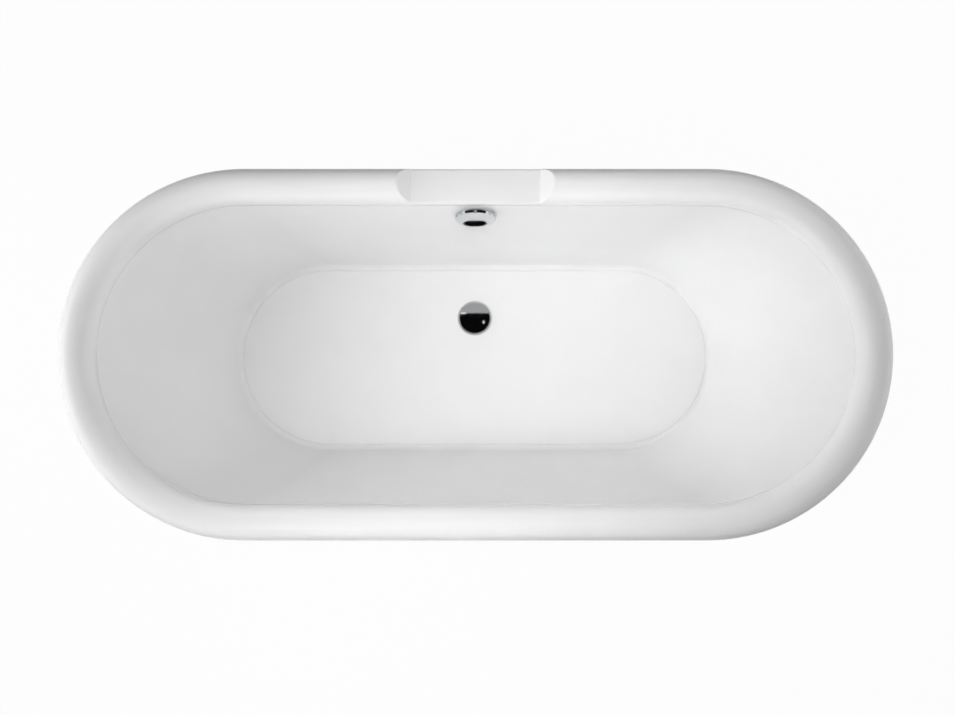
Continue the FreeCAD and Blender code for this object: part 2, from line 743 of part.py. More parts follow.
def foot(corner):
    """A cast foot: a plate, a knee that swells outward, a slim ankle and a paw."""
    sole = cell("foot_gap")
    plate_under = cell("stand_height") - cell("plate_thickness")
    heights = {
        "sole": sole,
        "paw": sole + cell("paw_rise"),
        "ankle": sole + cell("ankle_rise"),
        "knee": plate_under - cell("knee_drop"),
        "shoulder": plate_under,
    }
    sections = []
    for part, height in heights.items():
        reach = cell("paw_reach" if part == "sole" else f"{part}_reach")
        sections.append(oval(f"{corner}_{part}", cell(f"{part}_length"), cell(f"{part}_width"), reach, height))
    leg = document.addObject("Part::Loft", f"{corner}_leg")
    leg.Sections = sections
    leg.Solid = True
    top = block(f"{corner}_plate", cell("plate_length"), cell("plate_width"), cell("plate_thickness"),
                x=-cell("plate_length") / 2, y=-cell("plate_width") / 2, z=plate_under)
    tools = [rod(f"{corner}_bore", cell("stud_radius") + cell("stud_fit"), sole + cell("stud_bore"),
                 x=cell("paw_reach"))]
    for side in (1, -1):
        tools.append(rod(f"{corner}_bolt_hole_{side + 1}", cell("bolt_hole"), 3 * cell("plate_thickness"),
                         x=cell("bolt_inset_along") - cell("plate_length") / 2,
                         y=side * (cell("plate_width") / 2 - cell("bolt_inset_across")),
                         z=plate_under - cell("plate_thickness")))
    label = f"{corner}_foot"
    casting = cut(label, fuse(f"{corner}_casting", [leg, top]), tools)
    x, y = foot_spot(corner, as_size(0), as_size(0))
    node(label, place(casting, x=x, y=y, angle=foot_turn(corner)))


def leveller(corner):
    """A pad on the room's floor, and the stud that stands in it and screws into the paw."""
    x, y = foot_spot(corner, cell("paw_reach"), as_size(0))
    seat = cell("pad_height") - cell("stud_seat")
    seat_radius = cell("stud_radius") + cell("stud_fit")
    pad = turned(f"{corner}_pad", [
        (0, 0),
        (cell("pad_radius"), 0),
        (cell("pad_radius"), cell("pad_edge")),
        (cell("pad_boss"), cell("pad_height")),
        (seat_radius, cell("pad_height")),
        (seat_radius, seat),
        (0, seat),
    ])
    node(f"{corner}_leveller_pad", place(pad, x=x, y=y))
    collar = hexagon(f"{corner}_collar", cell("collar_flats"), cell("collar_height"),
                     z=cell("pad_height") + cell("collar_lift"))
    stud = fuse(f"{corner}_stud", [rod(f"{corner}_shank", cell("stud_radius"), cell("stud_length"), z=seat),
                                   collar])
    node(f"{corner}_leveller_stud", place(stud, x=x, y=y))


def drain_flange():
    profile = [
        (cell("throat_radius"), flange_top - cell("dish_depth")),
        (cell("dish_radius"), flange_top),
        (cell("flange_radius") - cell("flange_bevel"), flange_top),
        (cell("flange_radius"), flange_top - cell("flange_bevel")),
        (cell("flange_radius"), flange_under),
        (cell("tail_radius"), flange_under),
        (cell("tail_radius"), bath_floor - cell("tail_length")),
        (tail_bore, bath_floor - cell("tail_length")),
        (tail_bore, flange_top - cell("throat_depth")),
    ]
    node("drain_flange", on_drain(turned("drain_flange", profile)))
    edge = cell("flange_radius") - cell("gasket_inset")
    upper = ring("drain_upper_gasket", cell("drain_hole"), edge, bath_floor, flange_under)
    node("drain_upper_gasket", on_drain(upper))
    edge = cell("waste_flange") - cell("gasket_inset")
    lower = ring("drain_lower_gasket", cell("drain_hole"), edge, waste_top, board_top)
    node("drain_lower_gasket", on_drain(lower))


def waste_body():
    """The bowl under the bath: a flange, a threaded neck, an overflow spigot, an outlet and bosses."""
    socket = cell("tail_radius") + cell("thread_fit")
    outside = on_drain(turned("waste_outside", [
        (0, waste_top),
        (cell("waste_flange"), waste_top),
        (cell("waste_flange"), neck_top),
        (cell("waste_neck"), neck_top),
        (cell("waste_neck"), bowl_top),
        (cell("bowl_radius"), bowl_top),
        (cell("bowl_radius"), bowl_bottom),
        (cell("pipe_radius"), bowl_bottom),
        (cell("pipe_radius"), outlet_end),
        (0, outlet_end),
    ]))
    pipe_bore = cell("pipe_radius") - cell("pipe_wall")
    inside = on_drain(turned("waste_inside", [
        (0, waste_top + cell("lower_gasket")),
        (socket, waste_top + cell("lower_gasket")),
        (socket, bowl_top - cell("bowl_wall")),
        (bowl_bore, bowl_top - cell("bowl_wall")),
        (bowl_bore, bowl_floor),
        (pipe_bore, bowl_floor),
        (pipe_bore, outlet_end - cell("pipe_wall")),
        (0, outlet_end - cell("pipe_wall")),
    ]))
    reach = inlet_end - cell("drain_offset")
    spigot_bore = cell("spigot_radius") - cell("spigot_wall")
    backward = {"axis": ALONG, "angle": -90}
    drain = cell("drain_offset")
    spigot = rod("waste_spigot", cell("spigot_radius"), reach, y=drain, z=inlet_level, **backward)
    spigot_hole = rod("waste_spigot_bore", spigot_bore, reach + cell("spigot_wall"),
                      y=drain, z=inlet_level, **backward)
    boss_length = bowl_boss_end - drain
    boss = rod("waste_cable_boss", cell("boss_radius"), boss_length,
               x=cell("cable_side"), y=drain, z=inlet_level, **backward)
    boss_hole = rod("waste_cable_bore", cell("cable_radius") + cell("cable_fit"), boss_length + cell("boss_reach"),
                    x=cell("cable_side"), y=drain, z=inlet_level, **backward)
    shaft_half = rocker_shaft_half()
    bearing_half = shaft_half + cell("rocker_touch")
    boss_half = bearing_half + cell("bowl_wall")
    sideways = {"axis": ACROSS, "angle": 90}
    shaft_boss = rod("waste_shaft_boss", cell("boss_radius"), 2 * boss_half,
                     x=-boss_half, y=rocker_across, z=rocker_level, **sideways)
    shaft_hole = rod("waste_shaft_bore", cell("rocker_shaft") + cell("guide_fit"), 2 * bearing_half,
                     x=-bearing_half, y=rocker_across, z=rocker_level, **sideways)
    outer = fuse("waste_blank", [outside, spigot, boss, shaft_boss])
    node("waste_body", cut("waste_body", outer, [inside, spigot_hole, boss_hole, shaft_hole]))


def rocker_shaft_half():
    """Half the length of the rocker's shaft: the bowl's half chord there and its bearing in the wall."""
    arm = cell("drain_offset") - rocker_across
    return root(bowl_bore * bowl_bore - arm * arm) + cell("rocker_bearing")


def spider(name, shaft, outside):
    """A ring, three arms and a hub that guides a shaft; it lies on its own XY plane."""
    height = cell("guide_height")
    outer = outside - cell("guide_fit")
    pieces = [
        ring(f"{name}_ring", outer - cell("guide_rim"), outer, 0, height),
        ring(f"{name}_hub", shaft + cell("guide_fit"), cell("guide_hub"), 0, height),
    ]
    inner = (shaft + cell("guide_fit") + cell("guide_hub")) / 2
    for arm in range(3):
        bar = block(f"{name}_bar_{arm}", outer - cell("guide_rim") / 2 - inner, cell("guide_arm"), height,
                    x=inner, y=-cell("guide_arm") / 2)
        pieces.append(place(group(f"{name}_arm_{arm}", [bar]), angle=120 * arm))
    return fuse(name, pieces)


def popup_plug():
    """The cap, its carrier disc and its hub, with the stem's seat up the middle."""
    edge_top = cap_under + cell("cap_edge")
    dome_base = edge_top + cell("cap_bevel")
    dome_edge = cell("cap_radius") - cell("cap_bevel")
    dome_radius = (dome_edge * dome_edge + cell("cap_dome") * cell("cap_dome")) / (2 * cell("cap_dome"))
    seat = cell("stem_radius") + cell("stem_fit")
    neck = cell("seal_bore") - cell("stem_fit")
    plug = turned("popup_plug", [
        (0, stem_top),
        (seat, stem_top),
        (seat, hub_under),
        (cell("plug_hub"), hub_under),
        (cell("plug_hub"), carrier_under),
        (cell("carrier_radius"), carrier_under),
        (cell("carrier_radius"), seal_under),
        (neck, seal_under),
        (neck, cap_under),
        (cell("cap_radius"), cap_under),
        (cell("cap_radius"), edge_top, dome_edge, edge_top, 1),
        (dome_edge, dome_base, 0, dome_base + cell("cap_dome") - dome_radius, 1),
        (0, dome_base + cell("cap_dome")),
    ])
    node("popup_plug", on_drain(plug))
    seal = ring("plug_seal", cell("seal_bore"), cell("seal_radius"), seal_under, cap_under)
    node("plug_seal", on_drain(seal))
    stem = rod("plug_stem", cell("stem_radius"), stem_top - stem_foot)
    node("plug_stem", on_drain(stem, stem_foot))
    guide = spider("plug_guide", cell("stem_radius"), tail_bore)
    node("plug_guide", on_drain(guide, bath_floor - cell("guide_depth")))


def lift_rocker():
    """A shaft across the bowl, an arm that lifts the stem and a lever for the cable, square to it."""
    half = rocker_shaft_half()
    width = cell("rocker_width")
    thickness = cell("rocker_thickness")
    sideways = {"axis": ACROSS, "angle": 90}
    pieces = [
        rod("rocker_shaft", cell("rocker_shaft"), 2 * half, x=-half, **sideways),
        rod("rocker_tip", cell("rocker_tip"), width, x=-width / 2, y=cell("rocker_arm"), **sideways),
        block("rocker_arm", width, cell("rocker_arm"), thickness, x=-width / 2, z=-thickness / 2),
        block("rocker_lever", width, thickness, cell("rocker_lever"), x=-width / 2, y=-thickness / 2),
    ]
    rocker = place(fuse("lift_rocker", pieces), y=rocker_across, z=rocker_level,
                   axis=ALONG, angle=-cell("rocker_dip"))
    node("lift_rocker", rocker)


def trap():
    """The union under the waste body, and the pipe that goes down, round a U, up and out along +X."""
    bore = cell("pipe_radius") - cell("pipe_wall")
    collar_top = outlet_end - cell("trap_seal")
    collar_under = collar_top - cell("trap_collar")
    collar_radius = cell("pipe_radius") + cell("trap_collar")
    node("trap_seal", on_drain(ring("trap_seal", bore, cell("pipe_radius"), collar_top, outlet_end)))
    nut_bore = cell("pipe_radius") + cell("thread_fit")
    nut_under = collar_under - cell("union_lip")
    nut_radius = collar_radius + cell("thread_fit") + cell("union_wall")
    nut = turned("trap_union_nut", [
        (nut_bore, nut_under),
        (nut_radius, nut_under),
        (nut_radius, nut_under + cell("union_height")),
        (nut_bore, nut_under + cell("union_height")),
        (nut_bore, outlet_end),
        (collar_radius + cell("thread_fit"), outlet_end),
        (collar_radius + cell("thread_fit"), collar_under),
        (nut_bore, collar_under),
    ])
    node("trap_union_nut", on_drain(nut))
    bend_level = collar_under - cell("trap_drop")
    riser = 2 * cell("trap_bend")
    elbow_level = bend_level + cell("trap_rise")
    outlet_level = elbow_level + cell("trap_elbow")
    outlet_start = riser + cell("trap_elbow")
    route = [
        (0, collar_top),
        (0, bend_level, cell("trap_bend"), bend_level, 1),
        (riser, bend_level),
        (riser, elbow_level, outlet_start, elbow_level, -1),
        (outlet_start, outlet_level),
        (outlet_start + cell("trap_outlet"), outlet_level),
    ]
    solids = [tube(f"trap_{name}", radius, route, collar_top)
              for name, radius in (("outside", cell("pipe_radius")), ("inside", bore))]
    collar = ring("trap_collar_ring", bore, collar_radius, collar_under, collar_top)
    pipe = cut("trap_pipe", fuse("trap_blank", [solids[0], collar]), solids[1:])
    node("trap_body", on_drain(pipe))


def tube(name, radius, route, top):
    """A round bar along a route of lines and arcs in the XZ plane, which starts downward at the top."""
    path = free_sketch(f"{name}_path", route, closed=False)
    path.Placement.Rotation = FreeCAD.Rotation(ALONG, 90)
    circle = document.addObject("Part::Circle", f"{name}_circle")
    bind(circle, "Radius", radius)
    place(circle, z=top)
    sweep = document.addObject("Part::Sweep", name)
    sweep.Sections = [circle]
    sweep.Spine = (path, [f"Edge{index}" for index in range(1, len(route))])
    sweep.Solid = True
    return sweep


def rosette():
    """The ring on the rear wall, with the sleeve that clamps the overflow body from behind."""
    seal_top = cell("front_seal")
    face = seal_top + cell("rosette_height")
    bore = cell("sleeve_radius") - cell("sleeve_wall")
    edge = cell("rosette_radius") - cell("gasket_inset")
    node("overflow_front_seal", on_overflow(ring("overflow_front_seal", cell("overflow_hole"), edge, 0, seal_top)))
    profile = [
        (bore, face),
        (cell("rosette_radius") - cell("rosette_slope"), face),
        (cell("rosette_radius"), seal_top + cell("rosette_edge")),
        (cell("rosette_radius"), seal_top),
        (cell("sleeve_radius"), seal_top),
        (cell("sleeve_radius"), wall_back - cell("sleeve_length")),
        (bore, wall_back - cell("sleeve_length")),
    ]
    node("overflow_rosette", on_overflow(turned("overflow_rosette", profile)))


def knob():
    """The knob on its spindle, the spindle's bearing in the sleeve, and the drum that winds the cable."""
    low = cell("front_seal") + cell("rosette_height") + cell("water_gap")
    high = low + cell("knob_height")
    face_edge = cell("knob_radius") - cell("knob_bevel")
    dome_base = high - cell("knob_dome")
    dome_radius = (face_edge * face_edge + cell("knob_dome") * cell("knob_dome")) / (2 * cell("knob_dome"))
    seat = cell("spindle_radius") + cell("spindle_fit")
    seat_top = high - cell("knob_face")
    skirt = cell("knob_radius") - cell("scallop_depth") - cell("knob_skirt")
    blank = turned("overflow_knob", [
        (0, seat_top),
        (seat, seat_top),
        (seat, low),
        (cell("knob_hub"), low),
        (cell("knob_hub"), seat_top),
        (skirt, seat_top),
        (skirt, low),
        (cell("knob_radius"), low),
        (cell("knob_radius"), dome_base - cell("knob_bevel"), face_edge, dome_base - cell("knob_bevel"), 1),
        (face_edge, dome_base, 0, high - dome_radius, 1),
        (0, high),
    ])
    document.recompute()
    scallop = blank.newObject("PartDesign::Pocket", "knob_scallop")
    reach = cell("knob_radius") + cell("scallop_radius") - cell("scallop_depth")
    scallop.Profile = body_sketch(blank, "XY_Plane", "knob_scallop_outline", [
        (reach - cell("scallop_radius"), 0, reach, 0, 1),
        (reach + cell("scallop_radius"), 0, reach, 0, 1),
    ])
    scallop.Type = "ThroughAll"
    scallop.Midplane = True
    scallops = blank.newObject("PartDesign::PolarPattern", "knob_scallops")
    scallops.Originals = [scallop]
    scallops.Axis = (scallop.Profile[0], ["N_Axis"])
    scallops.Angle = 360
    bind(scallops, "Occurrences", cell("scallop_count"))
    blank.Tip = scallops
    node("overflow_knob", on_overflow(blank))
    drum_back = cup_back + cell("cover_lip") + cell("water_gap")
    drum_front = drum_back + cell("drum_width")
    spindle = ring("knob_spindle", 0, cell("spindle_radius"), drum_back, seat_top - cell("spindle_fit"))
    node("knob_spindle", on_overflow(spindle))
    middle = (drum_back + drum_front) / 2
    drum = turned("cable_drum", [
        (seat, drum_back),
        (cell("drum_radius"), drum_back),
        (cell("drum_radius") - cell("drum_groove"), middle),
        (cell("drum_radius"), drum_front),
        (seat, drum_front),
    ])
    node("cable_drum", on_overflow(drum))
    bearing = spider("bearing_spider", cell("spindle_radius"), cell("sleeve_radius") - cell("sleeve_wall"))
    place(bearing, z=-cell("guide_height") / 2)
    node("spindle_bearing", on_overflow(group("spindle_bearing", [bearing])))


def overflow_body():
    """The cup behind the rear wall, its gasket and its back cover."""
    edge = cell("cup_flange") - cell("gasket_inset")
    gasket = ring("overflow_back_gasket", cell("overflow_hole"), edge, gasket_back, wall_back)
    node("overflow_back_gasket", on_overflow(gasket))
    outside = on_overflow(turned("cup_outside", [
        (0, gasket_back),
        (cell("cup_flange"), gasket_back),
        (cell("cup_flange"), cup_flange_back),
        (cell("cup_radius"), cup_flange_back),
        (cell("cup_radius"), cup_back),
        (0, cup_back),
    ]))
    bore = cell("cup_radius") - cell("cup_wall")
    mouth = cell("sleeve_radius") + cell("thread_fit")
    inside = on_overflow(turned("cup_inside", [
        (0, gasket_back + cell("back_gasket")),
        (mouth, gasket_back + cell("back_gasket")),
        (mouth, cup_flange_back - cell("cup_wall")),
        (bore, cup_flange_back - cell("cup_wall")),
        (bore, cup_back - cell("cup_wall")),
        (0, cup_back - cell("cup_wall")),
    ]))
    down_end = down_level - cell("down_length")
    spigot = rod("cup_spigot", cell("spigot_radius"), cell("down_length"), y=down_across, z=down_end)
    spigot_hole = rod("cup_spigot_bore", cell("spigot_radius") - cell("spigot_wall"),
                      cell("down_length") + cell("spigot_wall"),
                      y=down_across, z=down_end - cell("spigot_wall"))
    boss_length = down_level - cup_boss_end
    boss = rod("cup_cable_boss", cell("boss_radius"), boss_length,
               x=cell("cable_side"), y=down_across, z=cup_boss_end)
    boss_hole = rod("cup_cable_bore", cell("cable_radius") + cell("cable_fit"), boss_length + cell("boss_reach"),
                    x=cell("cable_side"), y=down_across, z=cup_boss_end - cell("boss_reach"))
    blank = fuse("cup_blank", [outside, spigot, boss])
    node("overflow_body", cut("overflow_body", blank, [inside, spigot_hole, boss_hole]))
    lip = bore - cell("cover_fit")
    cover = turned("overflow_back_cover", [
        (0, cup_back - cell("cover_thickness")),
        (cell("cup_radius"), cup_back - cell("cover_thickness")),
        (cell("cup_radius"), cup_back),
        (lip, cup_back),
        (lip, cup_back + cell("cover_lip")),
        (lip - cell("cup_wall"), cup_back + cell("cover_lip")),
        (lip - cell("cup_wall"), cup_back),
        (0, cup_back),
    ])
    node("overflow_back_cover", on_overflow(cover))


def bend_stations():
    """Lengths along the hose at which its down run ends, its bend ends and its level run ends."""
    bend = cell("hose_bend").value
    down = hose_top.value - inlet_level.value - bend
    turn = math.pi / 2 * bend
    level = down_across.value - bend - hose_end.value
    return down, down + turn, down + turn + level


def hose_point(length):
    """A point on the hose's middle line at a length from its top, and the direction there."""
    down, turned_by, _ = bend_stations()
    bend = cell("hose_bend").value
    if length <= down:
        return FreeCAD.Vector(0, down_across.value, hose_top.value - length), -UP
    if length >= turned_by:
        past = length - turned_by
        return FreeCAD.Vector(0, down_across.value - bend - past, inlet_level.value), -ACROSS
    angle = (length - down) / bend
    middle = FreeCAD.Vector(0, down_across.value - bend, inlet_level.value + bend)
    spoke = ACROSS * math.cos(angle) - UP * math.sin(angle)
    return middle + spoke * bend, -ACROSS * math.sin(angle) - UP * math.cos(angle)


def hose_circle(length, radius):
    """A circle round the hose's middle line; its own X axis is the bath's +X all the way."""
    centre, direction = hose_point(length)
    circle = Part.Circle(centre, direction, radius)
    circle.XAxis = ALONG
    return Part.Wire([circle.toShape()])


def hose():
    """The ribbed hose: smooth cuffs over the spigots, ribs between them, and a plain bore.

    RIB_SHAPE gives one rib's corners, as shares of the pitch and of the rib's height.
    """
    total = bend_stations()[-1]
    cuff = cell("hose_cuff").value
    count = int((total - 2 * cuff) / cell("rib_pitch").value)
    pitch = (total - 2 * cuff) / count
    valley = hose_radius.value
    rib = cell("rib_height").value
    rings = [hose_circle(0, valley)]
    for index in range(count):
        start = cuff + index * pitch
        for along, up in RIB_SHAPE:
            rings.append(hose_circle(start + along * pitch, valley + up * rib))
    rings.append(hose_circle(total, valley))
    outside = Part.makeLoft(rings, True, True)
    spine_edges = []
    marks = [0, *bend_stations()]
    for index, (first, last) in enumerate(zip(marks, marks[1:])):
        ends = [hose_point(first)[0], hose_point(last)[0]]
        if index == 1:
            middle = hose_point((first + last) / 2)[0]
            spine_edges.append(Part.Arc(ends[0], middle, ends[1]).toShape())
        else:
            spine_edges.append(Part.LineSegment(*ends).toShape())
    bore = Part.Wire(spine_edges).makePipeShell([hose_circle(0, hose_bore.value)], True, False)
    feature = document.addObject("Part::Feature", "overflow_hose")
    feature.Shape = outside.cut(bore)
    node("overflow_hose", feature)


def hose_clamps():
    inner = hose_radius + cell("clamp_fit")
    outer = inner + cell("clamp_wall")
    inset = (cell("hose_overlap") - cell("clamp_width")) / 2
    upper = ring("clamp_upper", inner, outer, 0, cell("clamp_width"))
    place(upper, y=down_across, z=hose_top - inset - cell("clamp_width"))
    lower = ring("clamp_lower", inner, outer, 0, cell("clamp_width"))
    place(lower, y=hose_end + inset, z=inlet_level, axis=ALONG, angle=-90)
    node("hose_clamps", group("hose_clamps", [upper, lower]))


def control_cable():
    """The sheathed cable beside the hose, with a gland at each end and two clips to the hose."""
    bend = cell("hose_bend")
    top = cup_boss_end + cell("cable_entry")
    end = bowl_boss_end - cell("cable_entry")
    bend_level = inlet_level + bend
    path = free_sketch("cable_path", [
        (down_across, top),
        (down_across, bend_level, down_across - bend, bend_level, -1),
        (down_across - bend, inlet_level),
        (end, inlet_level),
    ], closed=False)
    path.Placement.Rotation = FreeCAD.Rotation(ACROSS, UP, ALONG, "XYZ")
    bind(path, "Placement.Base.x", cell("cable_side"))
    circle = document.addObject("Part::Circle", "cable_circle")
    bind(circle, "Radius", cell("cable_radius"))
    place(circle, x=cell("cable_side"), y=down_across, z=top)
    cable = document.addObject("Part::Sweep", "control_cable")
    cable.Sections = [circle]
    cable.Spine = (path, ["Edge1", "Edge2", "Edge3"])
    cable.Solid = True
    node("control_cable", cable)
    glands = []
    for name, where in {
        "upper": {"y": down_across, "z": cup_boss_end, "axis": ALONG, "angle": 180},
        "lower": {"y": bowl_boss_end, "z": inlet_level, "axis": ALONG, "angle": -90},
    }.items():
        bar = hexagon(f"gland_bar_{name}", cell("gland_flats"), cell("gland_length"))
        hole = rod(f"gland_hole_{name}", cell("cable_radius") + cell("cable_fit"), cell("gland_length"))
        glands.append(place(cut(f"gland_{name}", bar, [hole]), x=cell("cable_side"), **where))
    node("cable_glands", group("cable_glands", glands))


def cable_clips():
    """Each clip is a ring round the hose's ribs and a small ring round the cable, joined by a web."""
    clips = []
    hose_ring = hose_crest + cell("clamp_fit")
    cable_ring = cell("cable_radius") + cell("cable_fit")
    width = cell("clip_width")
    wall = cell("clip_wall")
    web_start = hose_ring + wall / 2
    web_end = cell("cable_side") - cable_ring - wall / 2
    for level in ("clip_high", "clip_low"):
        large = ring(f"{level}_hose_ring", hose_ring, hose_ring + wall, 0, width)
        small = place(ring(f"{level}_cable_ring", cable_ring, cable_ring + wall, 0, width), x=cell("cable_side"))
        web = block(f"{level}_web", web_end - web_start, wall, width, x=web_start, y=-wall / 2)
        clips.append(place(fuse(f"{level}_clip", [large, small, web]), y=down_across, z=cell(level)))
    node("cable_clips", group("cable_clips", clips))


def check():
    """Stop if any object failed or any sub-part isn't one valid shape."""
    for item in document.Objects:
        if {"Invalid", "Error"} & set(item.State):
            raise RuntimeError(f"{item.Label} failed: {item.State}")
    for item in nodes:
        if item.Shape.isNull() or not item.Shape.isValid() or not item.Shape.Solids:
            raise RuntimeError(f"{item.Label} is not a valid solid")


def main():
    shell()
    base_board()
    fasteners()
    for corner in CORNERS:
        foot(corner)
        leveller(corner)
    drain_flange()
    waste_body()
    popup_plug()
    lift_rocker()
    trap()
    rosette()
    knob()
    overflow_body()
    hose()
    hose_clamps()
    control_cable()
    cable_clips()
    document.recompute()
    check()
    os.makedirs("parts", exist_ok=True)
    for item in nodes:
        item.Shape.exportStep(f"parts/{item.Label}.step")
        print(item.Label, len(item.Shape.Solids), round(item.Shape.Volume))


main()
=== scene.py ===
"""Dresses the oval bath's frame: smooth sheet, chrome trim, cast feet, hose and cable, finishes, stage."""
import json
import math

import bmesh
import bpy
import numpy as np
from bpy.props import FloatProperty, FloatVectorProperty, IntProperty, PointerProperty
from bpy.types import Operator, Panel, PropertyGroup
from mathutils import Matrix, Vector


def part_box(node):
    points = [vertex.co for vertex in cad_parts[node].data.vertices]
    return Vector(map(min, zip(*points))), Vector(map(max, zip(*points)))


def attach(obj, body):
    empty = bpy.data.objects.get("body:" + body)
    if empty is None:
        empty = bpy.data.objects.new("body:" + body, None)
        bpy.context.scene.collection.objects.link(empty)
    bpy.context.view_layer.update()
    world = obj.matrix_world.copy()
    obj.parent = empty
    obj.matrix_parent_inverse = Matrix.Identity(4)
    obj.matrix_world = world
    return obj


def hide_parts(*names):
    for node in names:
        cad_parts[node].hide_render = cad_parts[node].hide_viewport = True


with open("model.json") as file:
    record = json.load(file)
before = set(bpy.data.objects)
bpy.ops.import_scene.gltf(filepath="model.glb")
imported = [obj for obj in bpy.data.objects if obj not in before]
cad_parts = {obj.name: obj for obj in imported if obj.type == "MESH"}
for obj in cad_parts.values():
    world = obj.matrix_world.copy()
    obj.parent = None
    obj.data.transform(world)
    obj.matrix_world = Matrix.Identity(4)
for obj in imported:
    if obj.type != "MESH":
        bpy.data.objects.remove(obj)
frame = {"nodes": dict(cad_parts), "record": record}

bl_info = {
    "name": "Oval roll-top bath",
    "version": (1, 0, 0),
    "blender": (4, 5, 0),
    "location": "3D View > Sidebar > Bath",
    "description": "Dresses the frame of an oval bath with smooth surfaces and finishes on a stage",
    "category": "Object",
}

CORNERS = {
    "rear_right": (1, 1),
    "rear_left": (-1, 1),
    "front_left": (-1, -1),
    "front_right": (1, -1),
}
# The picture's size, and the point of it that lies straight under the camera, in pixels
IMAGE_WIDTH = 954
IMAGE_HEIGHT = 715
PRINCIPAL_POINT = (470.5, 374.6)
# Steps round a plain turned piece and round one with a grip, and the axes of an upright piece
ROUND_STEPS = 128
GRIP_STEPS = 240
UPRIGHT = np.eye(3)
# Towards the axis, in (radius, height)
INWARD = np.array([-1.0, 0.0])


def linear(hex_colour):
    """An sRGB hex colour as linear red, green and blue."""
    shares = np.array([int(hex_colour[index:index + 2], 16) for index in (1, 3, 5)]) / 255
    return tuple(np.where(shares <= 0.04045, shares / 12.92, ((shares + 0.055) / 1.055) ** 2.4))


def length(name, value, description):
    """A size in metres that the sidebar shows as a length."""
    return FloatProperty(name=name, description=description, default=value, unit="LENGTH",
                         subtype="DISTANCE", precision=4)


def colour(name, hex_colour, description):
    return FloatVectorProperty(name=name, description=description, default=linear(hex_colour),
                               subtype="COLOR", size=3, min=0, max=1)


SHELL_LOW, SHELL_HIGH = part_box("acrylic_shell")
BATH_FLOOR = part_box("drain_upper_gasket")[0].z
DRAIN_LOW, DRAIN_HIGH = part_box("drain_flange")
CAP_LOW, CAP_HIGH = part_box("popup_plug")


class BathSheet(PropertyGroup):
    """The moulded sheet's sizes."""

    tub_length: length("Length", SHELL_HIGH.x - SHELL_LOW.x, "Over the rolled rim")
    tub_width: length("Width", SHELL_HIGH.y - SHELL_LOW.y, "Over the rolled rim")
    crest: length("Crest", SHELL_HIGH.z, "Top of the roll above the room's floor")
    floor_level: length("Floor level", BATH_FLOOR, "Bathing floor above the room's floor")
    floor_length: length("Floor length", 1.110, "Outline where the wall and floor planes meet")
    floor_width: length("Floor width", 0.433, "The same across")
    floor_round: length("Floor round", 0.012, "Round between the bathing floor and the walls")
    floor_line: length("Floor line", 0.0042, "Width of the fine line round the bathing floor")
    floor_bead: length("Floor bead", 0.0008, "Rise of that line's outer edge")
    floor_groove: length("Floor groove", 0.0018, "Dip in that line's middle")
    rim_width: length("Rim width", 0.072, "The roll, seen from above")
    rim_outer_round: length("Rim outer round", 0.029, "The roll's outer quarter round")
    rim_leg: length("Rim leg", 0.009, "Straight leg under the roll's inner quarter round")
    neck_round: length("Neck round", 0.01, "Hollow between that leg and the wall")
    deck_length: length("Ledge length", 0.264, "Flat part of the tap ledge")
    deck_drop: length("Ledge drop", 0.028, "Tap ledge below the crest")
    deck_edge: length("Ledge edge", 0.004, "Round along the tap ledge's edges")
    cheek_blend: length("Cheek blend", 0.002, "Softening where the ledge's end faces start and stop")
    skin: length("Sheet", 0.005, "Acrylic sheet")
    bond_gap: length("Bond line", 0.0003, "Between the acrylic and its backing")
    backing: length("Backing", 0.0037, "Glass-fibre laminate")
    drain_place: length("Waste place", 0.093, "Waste from the bath's middle towards the tap ledge")
    drain_hole: length("Waste hole", 0.026, "Radius of the hole in the floor")
    overflow_drop: length("Overflow drop", 0.097, "Overflow below the crest")
    overflow_hole: length("Overflow hole", 0.028, "Radius of the hole in the rear wall")


class BathTrim(PropertyGroup):
    """The chrome trim's and the hose's sizes."""

    flange_radius: length("Flange radius", (DRAIN_HIGH.x - DRAIN_LOW.x) / 2, "Waste flange")
    flange_top: length("Flange top", DRAIN_HIGH.z, "Waste flange above the room's floor")
    cap_radius: length("Cap radius", (CAP_HIGH.x - CAP_LOW.x) / 2, "Pop-up plug's cap")
    cap_top: length("Cap top", CAP_HIGH.z, "Closed cap above the room's floor")
    cap_dome: length("Cap dome", 0.002, "Rise of the cap's dome")
    rosette_radius: length("Rosette radius", 0.036, "Overflow ring behind the knob")
    knob_radius: length("Knob radius", 0.043, "Overflow knob")
    knob_height: length("Knob height", 0.0065, "Overflow knob")
    scallop_count: IntProperty(name="Scallops", description="Round the knob", default=8, min=3)
    scallop_radius: length("Scallop radius", 0.006, "Finger scallops round the knob")
    scallop_depth: length("Scallop depth", 0.0016, "Finger scallops round the knob")
    hose_bore: length("Hose bore", 0.0131, "Inside radius of the overflow hose")
    hose_radius: length("Hose radius", 0.0155, "Hose between its ribs")
    rib_height: length("Rib height", 0.002, "Hose's ribs")
    rib_pitch: length("Rib pitch", 0.006, "Hose's ribs")
    hose_cuff: length("Hose cuff", 0.03, "Smooth end of the hose")
    hose_bend: length("Hose bend", 0.1, "Radius of the bend of hose and cable")
    cable_radius: length("Cable radius", 0.003, "Control cable's sheath")
    thread_pitch: length("Thread pitch", 0.0015, "Leveller stud")


